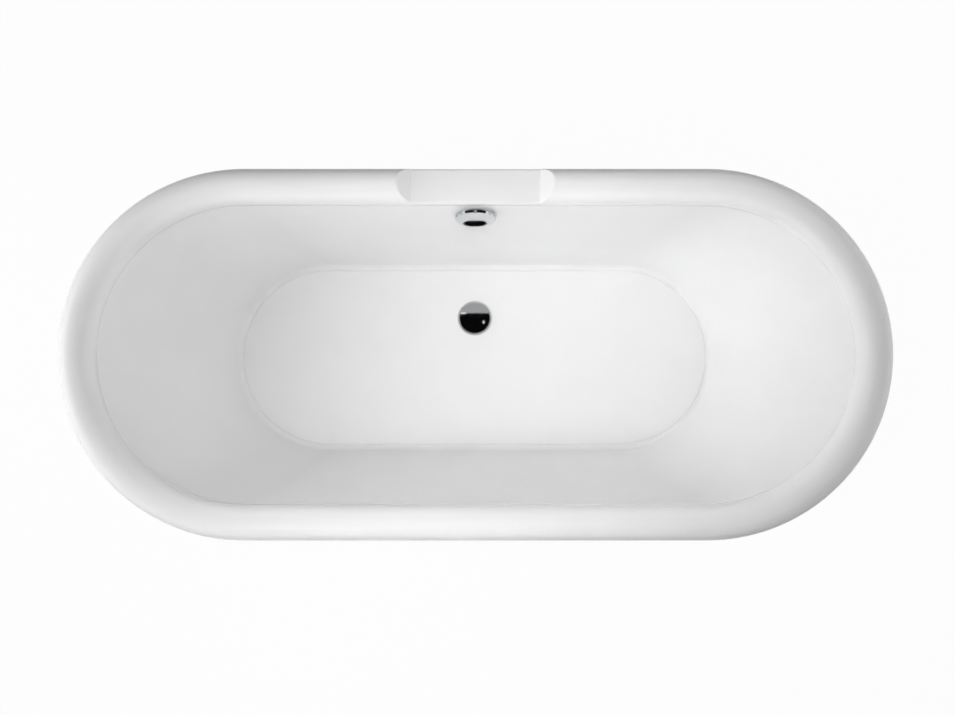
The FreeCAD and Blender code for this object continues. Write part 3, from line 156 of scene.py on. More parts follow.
class BathColours(PropertyGroup):
    """The finishes' colours."""

    acrylic: colour("Acrylic", "#F2F2F2", "Cast sheet")
    laminate: colour("Laminate", "#EDEDE9", "Gel coat on the backing")
    chrome: colour("Chrome", "#DFE1E3", "Plate on the trim and the feet")
    zinc: colour("Zinc", "#AEB2B6", "Plate on bolts, washers, clamps and studs")
    brass: colour("Brass", "#C8A45C", "Turned parts")
    birch: colour("Birch", "#D2B48A", "Plywood's pale grain")
    birch_dark: colour("Birch, dark", "#A98556", "Plywood's dark grain and glue lines")
    grey_plastic: colour("Grey plastic", "#7E8285", "Waste and overflow bodies")
    white_plastic: colour("White plastic", "#E4E4E0", "Trap and clips")
    black_nylon: colour("Nylon", "#26272A", "Pads, guides and drum")
    rubber: colour("Rubber", "#1E1E1F", "Gaskets and seals")
    hose: colour("Hose", "#B9BDBF", "Overflow hose")
    sheath: colour("Sheath", "#2B2C2F", "Control cable")


def add_node(tree, kind, inputs=None, stops=None, **settings):
    """Adds a node; an input is a value, or a socket or node to link from; stops are a ramp's colours."""
    node = tree.nodes.new(f"ShaderNode{kind}")
    for name, value in settings.items():
        setattr(node, name, value)
    for index, (place, tint) in enumerate((stops or {}).items()):
        node.color_ramp.elements[index].position = place
        node.color_ramp.elements[index].color = (*tint, 1)
    for socket, value in (inputs or {}).items():
        if isinstance(value, bpy.types.Node):
            value = value.outputs[0]
        if isinstance(value, bpy.types.NodeSocket):
            tree.links.new(value, node.inputs[socket])
        else:
            node.inputs[socket].default_value = value
    return node


def new_finish(name, sockets):
    """Starts a material with one Principled shader; returns its node tree and its object coordinates."""
    material = bpy.data.materials.new(name)
    material.use_nodes = True
    tree = material.node_tree
    for socket, value in sockets.items():
        tree.nodes["Principled BSDF"].inputs[socket].default_value = value
    return tree, add_node(tree, "TexCoord").outputs["Object"]


def dress(tree, gloss, relief, tint):
    """Lets a finish's roughness, relief and colour follow patterns.

    gloss is a pattern with its least and most roughness, relief a pattern with its depth in metres and
    its strength, and tint a pattern with the colours at its low and high ends.
    """
    pattern, least, most = gloss
    rough = add_node(tree, "MapRange", {"Value": pattern, "To Min": least, "To Max": most})
    pattern, depth, strength = relief
    bump = add_node(tree, "Bump", {"Height": pattern, "Distance": depth, "Strength": strength})
    pattern, low, high = tint
    ramp = add_node(tree, "ValToRGB", {"Fac": pattern}, stops={0.3: low, 0.7: high})
    shader = tree.nodes["Principled BSDF"]
    for socket, node in {"Base Color": ramp, "Roughness": rough, "Normal": bump}.items():
        tree.links.new(node.outputs[0], shader.inputs[socket])


def per_metre(millimetres):
    """A texture's scale for a pattern whose features are this far apart."""
    return 1000 / millimetres


def bands_per_metre(millimetres):
    """A wave texture's scale for bands this far apart; unscaled, they lie 2 pi / 20 apart."""
    return per_metre(millimetres) * 2 * math.pi / 20


def darker(base, share):
    """A colour with a share of its light."""
    return tuple(channel * share for channel in base)


def polished_cast_acrylic(name, base):
    # Vacuum-formed from a polished sheet: bright gloss, with the long, faint ripple that forming leaves
    tree, place = new_finish(name, {"IOR": 1.49})
    ripple = add_node(tree, "TexNoise", {"Vector": place, "Scale": per_metre(90), "Detail": 1.0})
    haze = add_node(tree, "TexNoise", {"Vector": place, "Scale": per_metre(14)})
    dress(tree, gloss=(haze, 0.08, 0.14), relief=(ripple, 0.0002, 0.25),
          tint=(ripple, darker(base, 0.985), base))


def rolled_gel_coat(name, base):
    # Gel coat rolled over chopped strands: satin white, with the strand mat just telegraphing through
    tree, place = new_finish(name, {"IOR": 1.5})
    strands = add_node(tree, "TexVoronoi", {"Vector": place, "Scale": per_metre(7)}, feature="SMOOTH_F1")
    clouds = add_node(tree, "TexNoise", {"Vector": place, "Scale": per_metre(60)})
    dress(tree, gloss=(strands, 0.24, 0.42), relief=(strands, 0.0004, 0.3),
          tint=(clouds, darker(base, 0.95), base))


def bright_chrome(name, base, waviness, depth):
    # Bright plate over polished metal: a dark-and-light mirror, with faint waves from the metal under it.
    # waviness is the waves' spacing in millimetres, and depth their depth in metres
    tree, place = new_finish(name, {"Metallic": 1.0})
    waves = add_node(tree, "TexNoise", {"Vector": place, "Scale": per_metre(waviness), "Detail": 1.0})
    wiping = add_node(tree, "TexNoise", {"Vector": place, "Scale": per_metre(3), "Detail": 3.0})
    dress(tree, gloss=(wiping, 0.03, 0.08), relief=(waves, depth, 0.3),
          tint=(wiping, darker(base, 0.96), base))


def zinc_plated_steel(name, base):
    # Barrel-plated steel: grey satin metal with small bright and dull grains
    tree, place = new_finish(name, {"Metallic": 1.0})
    grains = add_node(tree, "TexVoronoi", {"Vector": place, "Scale": per_metre(1.5)})
    dress(tree, gloss=(grains, 0.28, 0.46), relief=(grains, 0.00005, 0.3),
          tint=(grains, base, darker(base, 0.82)))


def turned_brass(name, base):
    # Turned on a lathe: warm metal with rings from the tool, drawn 0.8 mm apart so that they show
    tree, place = new_finish(name, {"Metallic": 1.0})
    rings = add_node(tree, "TexWave", {
        "Vector": place, "Scale": bands_per_metre(0.8), "Distortion": 0.2}, bands_direction="Z")
    tarnish = add_node(tree, "TexNoise", {"Vector": place, "Scale": per_metre(5), "Detail": 3.0})
    dress(tree, gloss=(rings.outputs["Fac"], 0.2, 0.36), relief=(rings.outputs["Fac"], 0.00004, 0.4),
          tint=(tarnish, darker(base, 0.85), base))


def sanded_birch_plywood(name, pale, dark):
    # Birch veneers glued crosswise: long pale grain on the level faces, and 1.6 mm plies round the edges
    tree, place = new_finish(name, {"IOR": 1.45})
    plies = add_node(tree, "TexWave", {
        "Vector": place, "Scale": bands_per_metre(1.6), "Distortion": 0.4}, bands_direction="Z")
    along = add_node(tree, "Mapping", {"Vector": place, "Scale": (0.06, 1, 1)})
    grain = add_node(tree, "TexNoise", {
        "Vector": along, "Scale": per_metre(6), "Detail": 5.0, "Distortion": 0.6})
    normal = add_node(tree, "NewGeometry").outputs["Normal"]
    upright = add_node(tree, "SeparateXYZ", {"Vector": normal})
    level = add_node(tree, "Math", {0: upright.outputs["Z"]}, operation="ABSOLUTE")
    veneer = add_node(tree, "Math", {0: plies.outputs["Fac"], 1: level}, operation="MAXIMUM")
    both = add_node(tree, "Math", {0: veneer, 1: grain, 2: 0.2}, operation="MULTIPLY_ADD")
    dress(tree, gloss=(grain, 0.5, 0.72), relief=(grain, 0.0001, 0.4), tint=(both, dark, pale))


def moulded_plastic(name, base, roughness, grain_size):
    # Moulded or extruded plastic and rubber: satin, with soft flow marks and a fine, even grain from the
    # tool. grain_size is the grain's spacing in millimetres
    tree, place = new_finish(name, {"IOR": 1.49})
    sparks = add_node(tree, "TexNoise", {"Vector": place, "Scale": per_metre(grain_size), "Detail": 3.0})
    flow = add_node(tree, "TexNoise", {"Vector": place, "Scale": per_metre(25), "Distortion": 0.8})
    dress(tree, gloss=(sparks, roughness - 0.08, roughness + 0.1), relief=(sparks, 0.00006, 0.35),
          tint=(flow, darker(base, 0.9), base))


def finish(slot):
    """The material of one of the record's slots, made the first time that it is asked for.

    A recipe is the function that makes it, its name, its colour and what else that function takes.
    """
    colours = bpy.context.scene.bath_colours
    recipes = {
        "white_acrylic": (polished_cast_acrylic, "polished_cast_acrylic", colours.acrylic),
        "white_laminate": (rolled_gel_coat, "rolled_gel_coat", colours.laminate),
        "chrome": (bright_chrome, "bright_chrome_on_brass", colours.chrome, 12, 0.00004),
        "chromed_casting": (bright_chrome, "bright_chrome_on_casting", colours.chrome, 22, 0.0004),
        "zinc_steel": (zinc_plated_steel, "zinc_plated_steel", colours.zinc),
        "brass": (turned_brass, "turned_brass", colours.brass),
        "birch_plywood": (sanded_birch_plywood, "sanded_birch_plywood", colours.birch,
                          colours.birch_dark),
        "grey_polypropylene": (moulded_plastic, "moulded_grey_polypropylene", colours.grey_plastic,
                               0.42, 0.9),
        "white_polypropylene": (moulded_plastic, "moulded_white_polypropylene", colours.white_plastic,
                                0.38, 0.9),
        "black_nylon": (moulded_plastic, "moulded_black_nylon", colours.black_nylon, 0.48, 0.7),
        "black_rubber": (moulded_plastic, "moulded_black_rubber", colours.rubber, 0.62, 1.2),
        "grey_hose": (moulded_plastic, "extruded_grey_hose", colours.hose, 0.4, 1.0),
        "cable_sheath": (moulded_plastic, "extruded_cable_sheath", colours.sheath, 0.45, 1.0),
    }
    make, name, *look = recipes[slot]
    if name not in bpy.data.materials:
        make(name, *look)
    return bpy.data.materials[name]


def unit(vectors):
    return vectors / np.linalg.norm(vectors, axis=-1, keepdims=True)


def full_turn(count):
    """Angles spaced evenly round a full turn."""
    return np.linspace(0, 2 * np.pi, count, endpoint=False)


def stacked(*coordinates):
    """Points from their coordinates, which are stretched to one shape."""
    return np.stack(np.broadcast_arrays(*coordinates), axis=-1)


def round_corner(corner, back, ahead, radius, steps):
    """Points of the arc of a radius that touches both legs of a corner.

    back and ahead are unit vectors along the legs. The arc's middle is on the legs' bisector, radius
    divided by the sine of half their angle away, and the points turn evenly about it.
    """
    half = np.arccos(np.clip(np.sum(back * ahead, axis=-1, keepdims=True), -1, 1)) / 2
    middle = corner + unit(back + ahead) * radius / np.sin(half)
    touch = radius / np.tan(half)
    first = (corner + back * touch - middle) / radius
    last = (corner + ahead * touch - middle) / radius
    turn = np.pi - 2 * half
    share = np.linspace(0, 1, steps).reshape(-1, *[1] * corner.ndim)
    sweep = np.sin((1 - share) * turn) * first + np.sin(share * turn) * last
    return middle + radius * sweep / np.sin(turn)


def rounded_profile(corners):
    """Points of a (radius, height) outline whose corners are (radius, height, rounding)."""
    steps = 6
    flat = np.array([corner[:2] for corner in corners])
    rows = []
    for index, (_, _, rounding) in enumerate(corners):
        corner = flat[index]
        if rounding == 0:
            rows.append(corner)
            continue
        back = unit(flat[index - 1] - corner)
        ahead = unit(flat[(index + 1) % len(flat)] - corner)
        rows.append(round_corner(corner, back, ahead, rounding, steps))
    return np.vstack(rows)


def grid_faces(rows, columns, close_rows=False):
    """Quads of a grid of points that closes round its columns, and round its rows if asked."""
    row = np.arange(rows if close_rows else rows - 1)[:, None]
    column = np.arange(columns)[None, :]
    next_row = (row + 1) % rows * columns
    next_column = (column + 1) % columns
    row = row * columns
    quads = stacked(row + column, next_row + column, next_row + next_column, row + next_column)
    return quads.reshape(-1, 4)


def add_object(name, data):
    item = bpy.data.objects.new(name, data)
    bpy.context.scene.collection.objects.link(item)
    return item


def make_piece(node, made, points, faces, slot, body="tub", sharp=40):
    """A smooth, closed piece from points and quads, which rides a body and stands for a CAD node.

    It is named for the node and for how it is made.
    """
    name = f"{node}_{made}"
    mesh = bpy.data.meshes.new(name)
    mesh.from_pydata(points.reshape(-1, 3).tolist(), [], faces.tolist())
    work = bmesh.new()
    work.from_mesh(mesh)
    bmesh.ops.remove_doubles(work, verts=work.verts, dist=1e-6)
    bmesh.ops.dissolve_degenerate(work, edges=work.edges, dist=1e-7)
    bmesh.ops.recalc_face_normals(work, faces=work.faces)
    work.to_mesh(mesh)
    work.free()
    mesh.validate()
    mesh.shade_smooth()
    mesh.set_sharp_from_angle(angle=math.radians(sharp))
    mesh.materials.append(finish(slot))
    piece = add_object(name, mesh)
    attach(piece, body)
    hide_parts(node)


def soft_least(first, second, blend):
    """The smaller of two heights, with a parabola of a blend's length over the step between them."""
    near = np.maximum(blend - np.abs(first - second), 0) / blend
    return np.minimum(first, second) - near * near * blend / 4


def oval_columns(sheet):
    """Columns round the oval, clockwise from the rear left: share along the straight side, and direction.

    The share runs from -1 to 1 along a straight side and stays there round an end; the direction is the
    plan's outward angle, a quarter turn on the straights and a half turn swept round each end. Columns
    stand close together behind the two holes, and closest at the ledge's ends.
    """
    half = (sheet.tub_length - sheet.tub_width) / 2
    ledge_end = sheet.deck_length / 2
    busy = ledge_end + 1.5 * sheet.deck_drop
    near_end = 0.01
    stations = [0, 2 * sheet.drain_hole, ledge_end - near_end, ledge_end + near_end, busy, half]
    counts = (14, 13, 17, 14, 20)
    spans = [np.linspace(*span, count)[1:] for *span, count in zip(stations, stations[1:], counts)]
    outward = np.concatenate(spans) / half
    straight = np.concatenate([-outward[::-1], [0], outward])
    sweep = np.linspace(np.pi / 2, -np.pi / 2, 61)[1:-1]
    along = np.concatenate([straight, np.ones_like(sweep), straight[::-1], -np.ones_like(sweep)])
    angle = np.concatenate([np.full_like(straight, np.pi / 2), sweep,
                            np.full_like(straight, -np.pi / 2), sweep - np.pi])
    return along, angle


def ledge_height(sheet, depth, along, angle):
    """How high the roll may rise in each column: the ledge, its 45 degree end faces, then the crest."""
    half = (sheet.tub_length - sheet.tub_width) / 2
    crest = sheet.crest - depth
    ledge = crest - sheet.deck_drop
    flat = sheet.deck_length / 2 + depth * math.tan(math.pi / 8)
    slope = ledge + np.abs(along) * half - flat
    floor_of_ledge = -soft_least(-slope, -ledge, sheet.cheek_blend)
    height = soft_least(floor_of_ledge, crest, sheet.cheek_blend)
    return np.where(np.isclose(angle, np.pi / 2), height, crest)


def roll_quarter(radius, middle, normal, height, edge):
    """Reach from the crest's line, and height, of one quarter of the roll.

    It is a round of the radius about a middle height, cut level at a height. Its edge is rounded: the
    round and the cut are taken in by the edge, and the edge is added again along each normal.
    """
    small = radius - edge
    limit = height - edge
    rise = middle + small * np.sin(normal)
    over = np.maximum(limit - middle, 0)
    reach = np.where(rise > limit, np.sqrt(np.maximum(small * small - over * over, 0)),
                     small * np.abs(np.cos(normal)))
    return reach + edge * np.abs(np.cos(normal)), np.minimum(rise, limit) + edge * np.sin(normal)


def plan(along, angle, half, radius, height):
    """Points at a radius and height round an oval whose straight sides have a half length."""
    return stacked(along * half + radius * np.cos(angle), radius * np.sin(angle), height)


def wall_line(sheet):
    """The height of the roll's inner lip, the well's half width there, and the side wall's slope."""
    lip = sheet.crest - (sheet.rim_width - sheet.rim_outer_round) - sheet.rim_leg
    well = sheet.tub_width / 2 - sheet.rim_width
    return lip, well, (well - sheet.floor_width / 2) / (lip - sheet.floor_level)


def sheet_grid(sheet, depth):
    """Points of the sheet at a depth under its face, as rows from the lip to the floor's middle line.

    A column rises up the outer leg, turns over the roll by its normal's angle, falls down the inner leg,
    turns into the wall through a round, runs straight to the floor's outline, turns through the floor's
    round, crosses the fine line and goes in to the middle line. The fine line falls from its bead to the
    floor as half a cosine, less a groove that follows the fourth power of a sine.
    """
    along, angle = oval_columns(sheet)
    rim_half = (sheet.tub_length - sheet.tub_width) / 2
    floor_half = (sheet.floor_length - sheet.floor_width) / 2
    outer = sheet.tub_width / 2
    middle = outer - sheet.rim_outer_round
    inner_round = sheet.rim_width - sheet.rim_outer_round
    lip, well, side_slope = wall_line(sheet)
    fall = lip - sheet.floor_level
    end_slope = (rim_half - floor_half) / fall
    least_edge = 0.0004
    edge = max(sheet.deck_edge - depth, least_edge)
    height = ledge_height(sheet, depth, along, angle)
    # The roll's rows stop this many degrees before the crest and start again as far behind it
    level_top = 3
    # Shares of the wall and of the floor between which rows stand close, for the overflow and the waste
    overflow_end = 0.24
    waste_start = 0.36
    waste_end = 0.74

    normal = np.radians(np.linspace(0, 90 - level_top, 15))[:, None]
    reach, rise = roll_quarter(sheet.rim_outer_round - depth, sheet.crest - sheet.rim_outer_round,
                               normal, height, edge)
    over_outside = plan(along, angle, rim_half, middle + reach, rise)
    normal = np.radians(np.linspace(90 + level_top, 180, 19))[:, None]
    reach, rise = roll_quarter(inner_round - depth, sheet.crest - inner_round, normal, height, edge)
    over_inside = plan(along, angle, rim_half, middle - reach, rise)
    share = np.linspace(0, 1, 5)[:-1, None, None]
    lip_edge = plan(along, angle, rim_half, outer - depth, lip)
    leg = lip_edge + (over_outside[0] - lip_edge) * share

    neck = plan(along, angle, rim_half, well + depth, lip)
    foot = plan(along, angle, floor_half - depth * end_slope,
                sheet.floor_width / 2 + depth * (1 - side_slope), sheet.floor_level - depth)
    spine = plan(along, angle, floor_half - depth * end_slope, 0, sheet.floor_level - depth)
    up = np.broadcast_to(np.array([0.0, 0.0, 1.0]), neck.shape)
    down_wall = unit(foot - neck)
    neck_turn = round_corner(neck, up, down_wall, sheet.neck_round + depth, 8)
    inward = unit(spine - foot)
    raised = foot + (neck - foot) * (sheet.floor_bead / (fall + depth))
    foot_turn = round_corner(raised, -down_wall, inward, sheet.floor_round + depth, 9)
    share = np.linspace(0, 1, 11)[1:, None, None]
    fall_to_floor = sheet.floor_bead * (1 - np.cos(np.pi * share)) / 2
    groove = sheet.floor_groove * np.sin(np.pi * share) ** 4
    line = foot_turn[-1] + inward * sheet.floor_line * share - up * (fall_to_floor + groove)
    shares = np.concatenate([np.linspace(0, overflow_end, 15)[1:],
                             np.linspace(overflow_end, 1, 13)[1:-1]])
    wall = neck_turn[-1] + (foot_turn[0] - neck_turn[-1]) * shares[:, None, None]
    shares = np.concatenate([np.linspace(0, waste_start, 5)[1:],
                             np.linspace(waste_start, waste_end, 13)[1:],
                             np.linspace(waste_end, 1, 5)[1:]])
    floor = line[-1] + (spine - line[-1]) * shares[:, None, None]
    return np.concatenate([leg, over_outside, over_inside, neck_turn, wall, foot_turn, line, floor])


def overflow_frame(sheet):
    """The overflow's middle on the rear wall's face, and its axes: along, up the wall and out of it."""
    _, _, slope = wall_line(sheet)
    level = sheet.crest - sheet.overflow_drop
    across = sheet.floor_width / 2 + (level - sheet.floor_level) * slope
    tilt = math.atan(slope)
    out = np.array([0.0, -math.cos(tilt), math.sin(tilt)])
    along = UPRIGHT[0]
    return np.array([0.0, across, level]), np.stack([along, np.cross(out, along), out])


def off_axis(points, origin, axis):
    """Vectors from an axis to points, square to the axis."""
    away = points - origin
    return away - (away @ axis)[..., None] * axis


def pierced_sheet(node, sheet, depth, thickness, slot):
    """A layer of the sheet between two depths, closed at the lip and round the waste and overflow holes.

    Quads whose middles lie inside a hole are left out, the points round it move out to its circle, and
    the two faces are joined there.
    """
    face = sheet_grid(sheet, depth)
    back = sheet_grid(sheet, depth + thickness)
    rows, columns = face.shape[:2]
    pairs = face + np.roll(face, -1, axis=1)
    centres = (pairs[:-1] + pairs[1:]) / 4
    gone = np.zeros(centres.shape[:2], bool)
    overflow, axes = overflow_frame(sheet)
    drain = np.array([0.0, sheet.drain_place, sheet.floor_level])
    holes = [(drain, UPRIGHT[2], sheet.drain_hole), (overflow, axes[2], sheet.overflow_hole)]
    hole_reach = 0.02
    for origin, axis, radius in holes:
        inside = np.linalg.norm(off_axis(centres, origin, axis), axis=-1) < radius
        inside &= np.abs((centres - origin) @ axis) < hole_reach
        gone |= inside
        around = np.zeros((rows, columns), bool)
        for step in (0, 1):
            around[:-1] |= np.roll(inside, step, axis=1)
            around[1:] |= np.roll(inside, step, axis=1)
        for points in (face, back):
            spokes = off_axis(points[around], origin, axis)
            points[around] += unit(spokes) * radius - spokes
    kept = grid_faces(rows, columns).reshape(rows - 1, columns, 4)[~gone]
    count = rows * columns
    index = np.arange(count).reshape(rows, columns)
    beside = np.roll(index, -1, axis=1)
    upright = gone != np.roll(gone, 1, axis=1)
    level = gone[1:] != gone[:-1]
    edges = [
        (index[0], beside[0]),
        (index[:-1][upright], index[1:][upright]),
        (index[1:-1][level], beside[1:-1][level]),
    ]
    joins = [stacked(first, second, second + count, first + count) for first, second in edges]
    faces = np.concatenate([kept, kept[:, ::-1] + count, *joins])
    make_piece(node, "smooth", np.stack([face, back]), faces, slot)


def put(points, origin, axes):
    """Points given along three axes from an origin, in the bath's frame."""
    return np.asarray(origin) + points @ np.asarray(axes)


def turned_piece(node, made, profile, origin, axes, slot, body="tub", closed=True, radii=None):
    """A piece turned from (radius, height) rows about the last of three axes.

    radii gives each row its own radius at each angle; without it every row is round.
    """
    if radii is None:
        radii = np.repeat(profile[:, :1], ROUND_STEPS, axis=1)
    angle = full_turn(radii.shape[1])
    points = stacked(radii * np.cos(angle), radii * np.sin(angle), profile[:, 1:])
    make_piece(node, made, put(points, origin, axes), grid_faces(*radii.shape, closed), slot, body)


def dome(edge, base, rise, count):
    """(radius, height) rows of a shallow round cap from its middle to its edge.

    The cap's round passes through its top and its edge: its radius is the sum of the squares of edge
    and rise, divided by twice the rise.
    """
    radius = np.linspace(0, edge, count)
    round_of = (edge * edge + rise * rise) / (2 * rise)
    return stacked(radius, base + rise - round_of + np.sqrt(round_of * round_of - radius * radius))


class BATH_OT_sheet(Operator):
    """Mould the acrylic sheet and its glass-fibre backing"""

    bl_idname = "bath.sheet"
    bl_label = "Sheet and backing"

    def execute(self, context):
        sheet = context.scene.bath_sheet
        pierced_sheet("acrylic_shell", sheet, 0, sheet.skin, "white_acrylic")
        pierced_sheet("glass_fibre_backing", sheet, sheet.skin + sheet.bond_gap, sheet.backing,
                      "white_laminate")
        return {"FINISHED"}


class BATH_OT_waste_trim(Operator):
    """Turn the waste flange and the pop-up plug"""

    bl_idname = "bath.waste_trim"
    bl_label = "Waste flange and plug"

    def execute(self, context):
        origin = (0, context.scene.bath_sheet.drain_place, 0)
        trim = context.scene.bath_trim
        turned_piece("drain_flange", "turned", self.flange(trim), origin, UPRIGHT, "chrome")
        turned_piece("popup_plug", "turned", self.plug(trim), origin, UPRIGHT, "chrome", "plug",
                     closed=False)
        return {"FINISHED"}

    def flange(self, trim):
        """(radius, height) rows of a bevelled rim, a throat for the plug and a tail through the floor."""
        top = trim.flange_top
        under = top - 0.0025
        rim = trim.flange_radius
        crown = 0.0345
        throat = 0.0225
        tail = 0.024
        bore = 0.021
        return rounded_profile([
            (throat, top - 0.0016, 0.0006),
            (crown, top, 0.0015),
            (rim - 0.003, top, 0.0008),
            (rim, top - 0.002, 0.0004),
            (rim, under, 0),
            (tail, under, 0),
            (tail, DRAIN_LOW.z, 0),
            (bore, DRAIN_LOW.z, 0),
            (bore, top - 0.0092, 0.0005),
        ])

    def plug(self, trim):
        """(radius, height) rows of a domed cap, a groove for the seal, its land and a bored boss."""
        cap = trim.cap_radius
        groove = 0.01695
        land = 0.0205
        boss = 0.01
        stem = 0.00405
        bevel = 0.0015
        face = trim.cap_top - trim.cap_dome
        under = face - bevel - 0.0028
        groove_low = under - 0.0011
        land_low = under - 0.0024
        boss_low = under - 0.0126
        stem_end = under - 0.0006
        shoulder = round_corner(np.array([cap, face]), INWARD, np.array([0.0, -1.0]), bevel, 9)
        inside = rounded_profile([
            (cap, under, 0),
            (groove, under, 0),
            (groove, groove_low, 0),
            (land, groove_low, 0),
            (land, land_low, 0.0003),
            (boss, land_low, 0),
            (boss, boss_low, 0.0004),
            (stem, boss_low, 0),
            (stem, stem_end, 0),
            (0, stem_end, 0),
        ])
        return np.vstack([dome(cap - bevel, face, trim.cap_dome, 24), shoulder[1:], inside])


class BATH_OT_overflow_trim(Operator):
    """Turn the overflow's ring and its scalloped knob"""

    bl_idname = "bath.overflow_trim"
    bl_label = "Overflow ring and knob"

    def execute(self, context):
        trim = context.scene.bath_trim
        origin, axes = overflow_frame(context.scene.bath_sheet)
        turned_piece("overflow_rosette", "turned", self.ring(trim), origin, axes, "chrome")
        knob, radii = self.knob(trim)
        turned_piece("overflow_knob", "turned", knob, origin, axes, "chrome", "knob", closed=False,
                     radii=radii)
        return {"FINISHED"}

    def ring(self, trim):
        """(radius, height) rows of a low ring on the wall and its sleeve through the wall."""
        rim = trim.rosette_radius
        face = 0.0045
        seat = 0.0015
        bore = 0.023
        sleeve = 0.026
        sleeve_end = -0.038742
        return rounded_profile([
            (bore, face, 0.0008),
            (rim - 0.0025, face, 0.0015),
            (rim, 0.003, 0.001),
            (rim, seat, 0),
            (sleeve, seat, 0),
            (sleeve, sleeve_end, 0),
            (bore, sleeve_end, 0),
        ])

    def knob(self, trim):
        """(radius, height) rows of a domed, tapered cap with a bored hub, and its scalloped radii.

        The scallops are whole at the edge and fade out evenly as far in as the skirt.
        """
        edge = trim.knob_radius
        skirt = edge - 0.0046
        hub = 0.009
        bore = 0.00505
        taper = 0.0017
        bevel = 0.0012
        rise = 0.0014
        low = 0.0075
        face = low + trim.knob_height - rise
        web = low + trim.knob_height - 0.0035
        down_side = unit(np.array([taper, low - face]))
        shoulder = round_corner(np.array([edge - taper, face]), INWARD, down_side, bevel, 9)
        inside = np.array([
            (edge, low),
            (skirt, low),
            (skirt, web),
            (hub, web),
            (hub, low),
            (bore, low),
            (bore, web),
            (0, web),
        ])
        rows = np.vstack([dome(shoulder[0, 0], face, rise, 20), shoulder[1:], inside])
        radius = rows[:, :1]
        share = np.clip((radius - skirt) / (edge - skirt), 0, 1)
        return rows, radius - (edge - self.scallops(trim)) * share

    def scallops(self, trim):
        """The knob's radius at each angle: its round, or the near side of the scallops' rounds if less."""
        spacing = 2 * np.pi / trim.scallop_count
        off = (full_turn(GRIP_STEPS) + spacing / 2) % spacing - spacing / 2
        reach = trim.knob_radius + trim.scallop_radius - trim.scallop_depth
        chord = trim.scallop_radius ** 2 - (reach * np.sin(off)) ** 2
        clear = trim.knob_radius + 0.01
        blend = 0.0006
        near = np.where(chord > 0, reach * np.cos(off) - np.sqrt(np.maximum(chord, 0)), clear)
        return soft_least(near, trim.knob_radius, blend)


class BATH_OT_hose(Operator):
    """Extrude the ribbed overflow hose and the control cable beside it"""

    bl_idname = "bath.hose"
    bl_label = "Hose and cable"

    def execute(self, context):
        trim = context.scene.bath_trim
        low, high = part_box("overflow_hose")
        outside = trim.hose_radius + trim.rib_height
        route = (high.y - outside, low.z + outside, trim.hose_bend)
        total = self.route_length("overflow_hose", *route)
        cuff = trim.hose_cuff
        ribs = int((total - 2 * cuff) / trim.rib_pitch)
        pitch = (total - 2 * cuff) / ribs
        # The ribs follow a steep cosine, clipped flat, between the two smooth cuffs
        rows_to_a_rib = 10
        share = np.linspace(0, ribs, ribs * rows_to_a_rib + 1)
        swell = np.clip(0.5 - 0.75 * np.cos(2 * np.pi * share), 0, 1)
        ribbed = trim.hose_radius + trim.rib_height * np.concatenate([[0, 0], swell, [0, 0]])
        bore = np.full(60, trim.hose_bore)
        lengths = np.concatenate([[0, cuff / 2], cuff + share * pitch, [total - cuff / 2, total],
                                  np.linspace(total, 0, len(bore))])
        points = self.carry("overflow_hose", *route, lengths, np.concatenate([ribbed, bore]), 40)
        make_piece("overflow_hose", "ribbed", points, grid_faces(*points.shape[:2], True), "grey_hose")
        total = self.route_length("control_cable", *route)
        sheath = np.full(140, trim.cable_radius)
        lengths = np.concatenate([[0], np.linspace(0, total, len(sheath)), [total]])
        points = self.carry("control_cable", *route, lengths, np.concatenate([[0], sheath, [0]]), 20)
        make_piece("control_cable", "extruded", points, grid_faces(*points.shape[:2]), "cable_sheath")
        return {"FINISHED"}

    def route_length(self, node, back, level, bend):
        """Down to the bend, a quarter turn, and along to the end."""
        low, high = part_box(node)
        return high.z - level - bend + math.pi / 2 * bend + back - bend - low.y

    def carry(self, node, back, level, bend, lengths, radii, count):
        """A circle carried along the route: centre + radius (cos a along X + sin a along the spoke).

        The spoke points away from the bend's middle, and stays as it is along the straights.
        """
        low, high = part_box(node)
        down = high.z - level - bend
        turn = np.clip((lengths - down) / bend, 0, math.pi / 2)
        fall = np.minimum(lengths, down)
        run = np.maximum(lengths - down - math.pi / 2 * bend, 0)
        spoke = stacked(0, np.cos(turn), -np.sin(turn))
        centre = stacked((low.x + high.x) / 2, back - bend + bend * np.cos(turn) - run,
                         high.z - fall - bend * np.sin(turn))
        angle = full_turn(count)[:, None]
        circle = np.cos(angle) * UPRIGHT[0] + np.sin(angle) * spoke[:, None, :]
        return centre[:, None, :] + radii[:, None, None] * circle


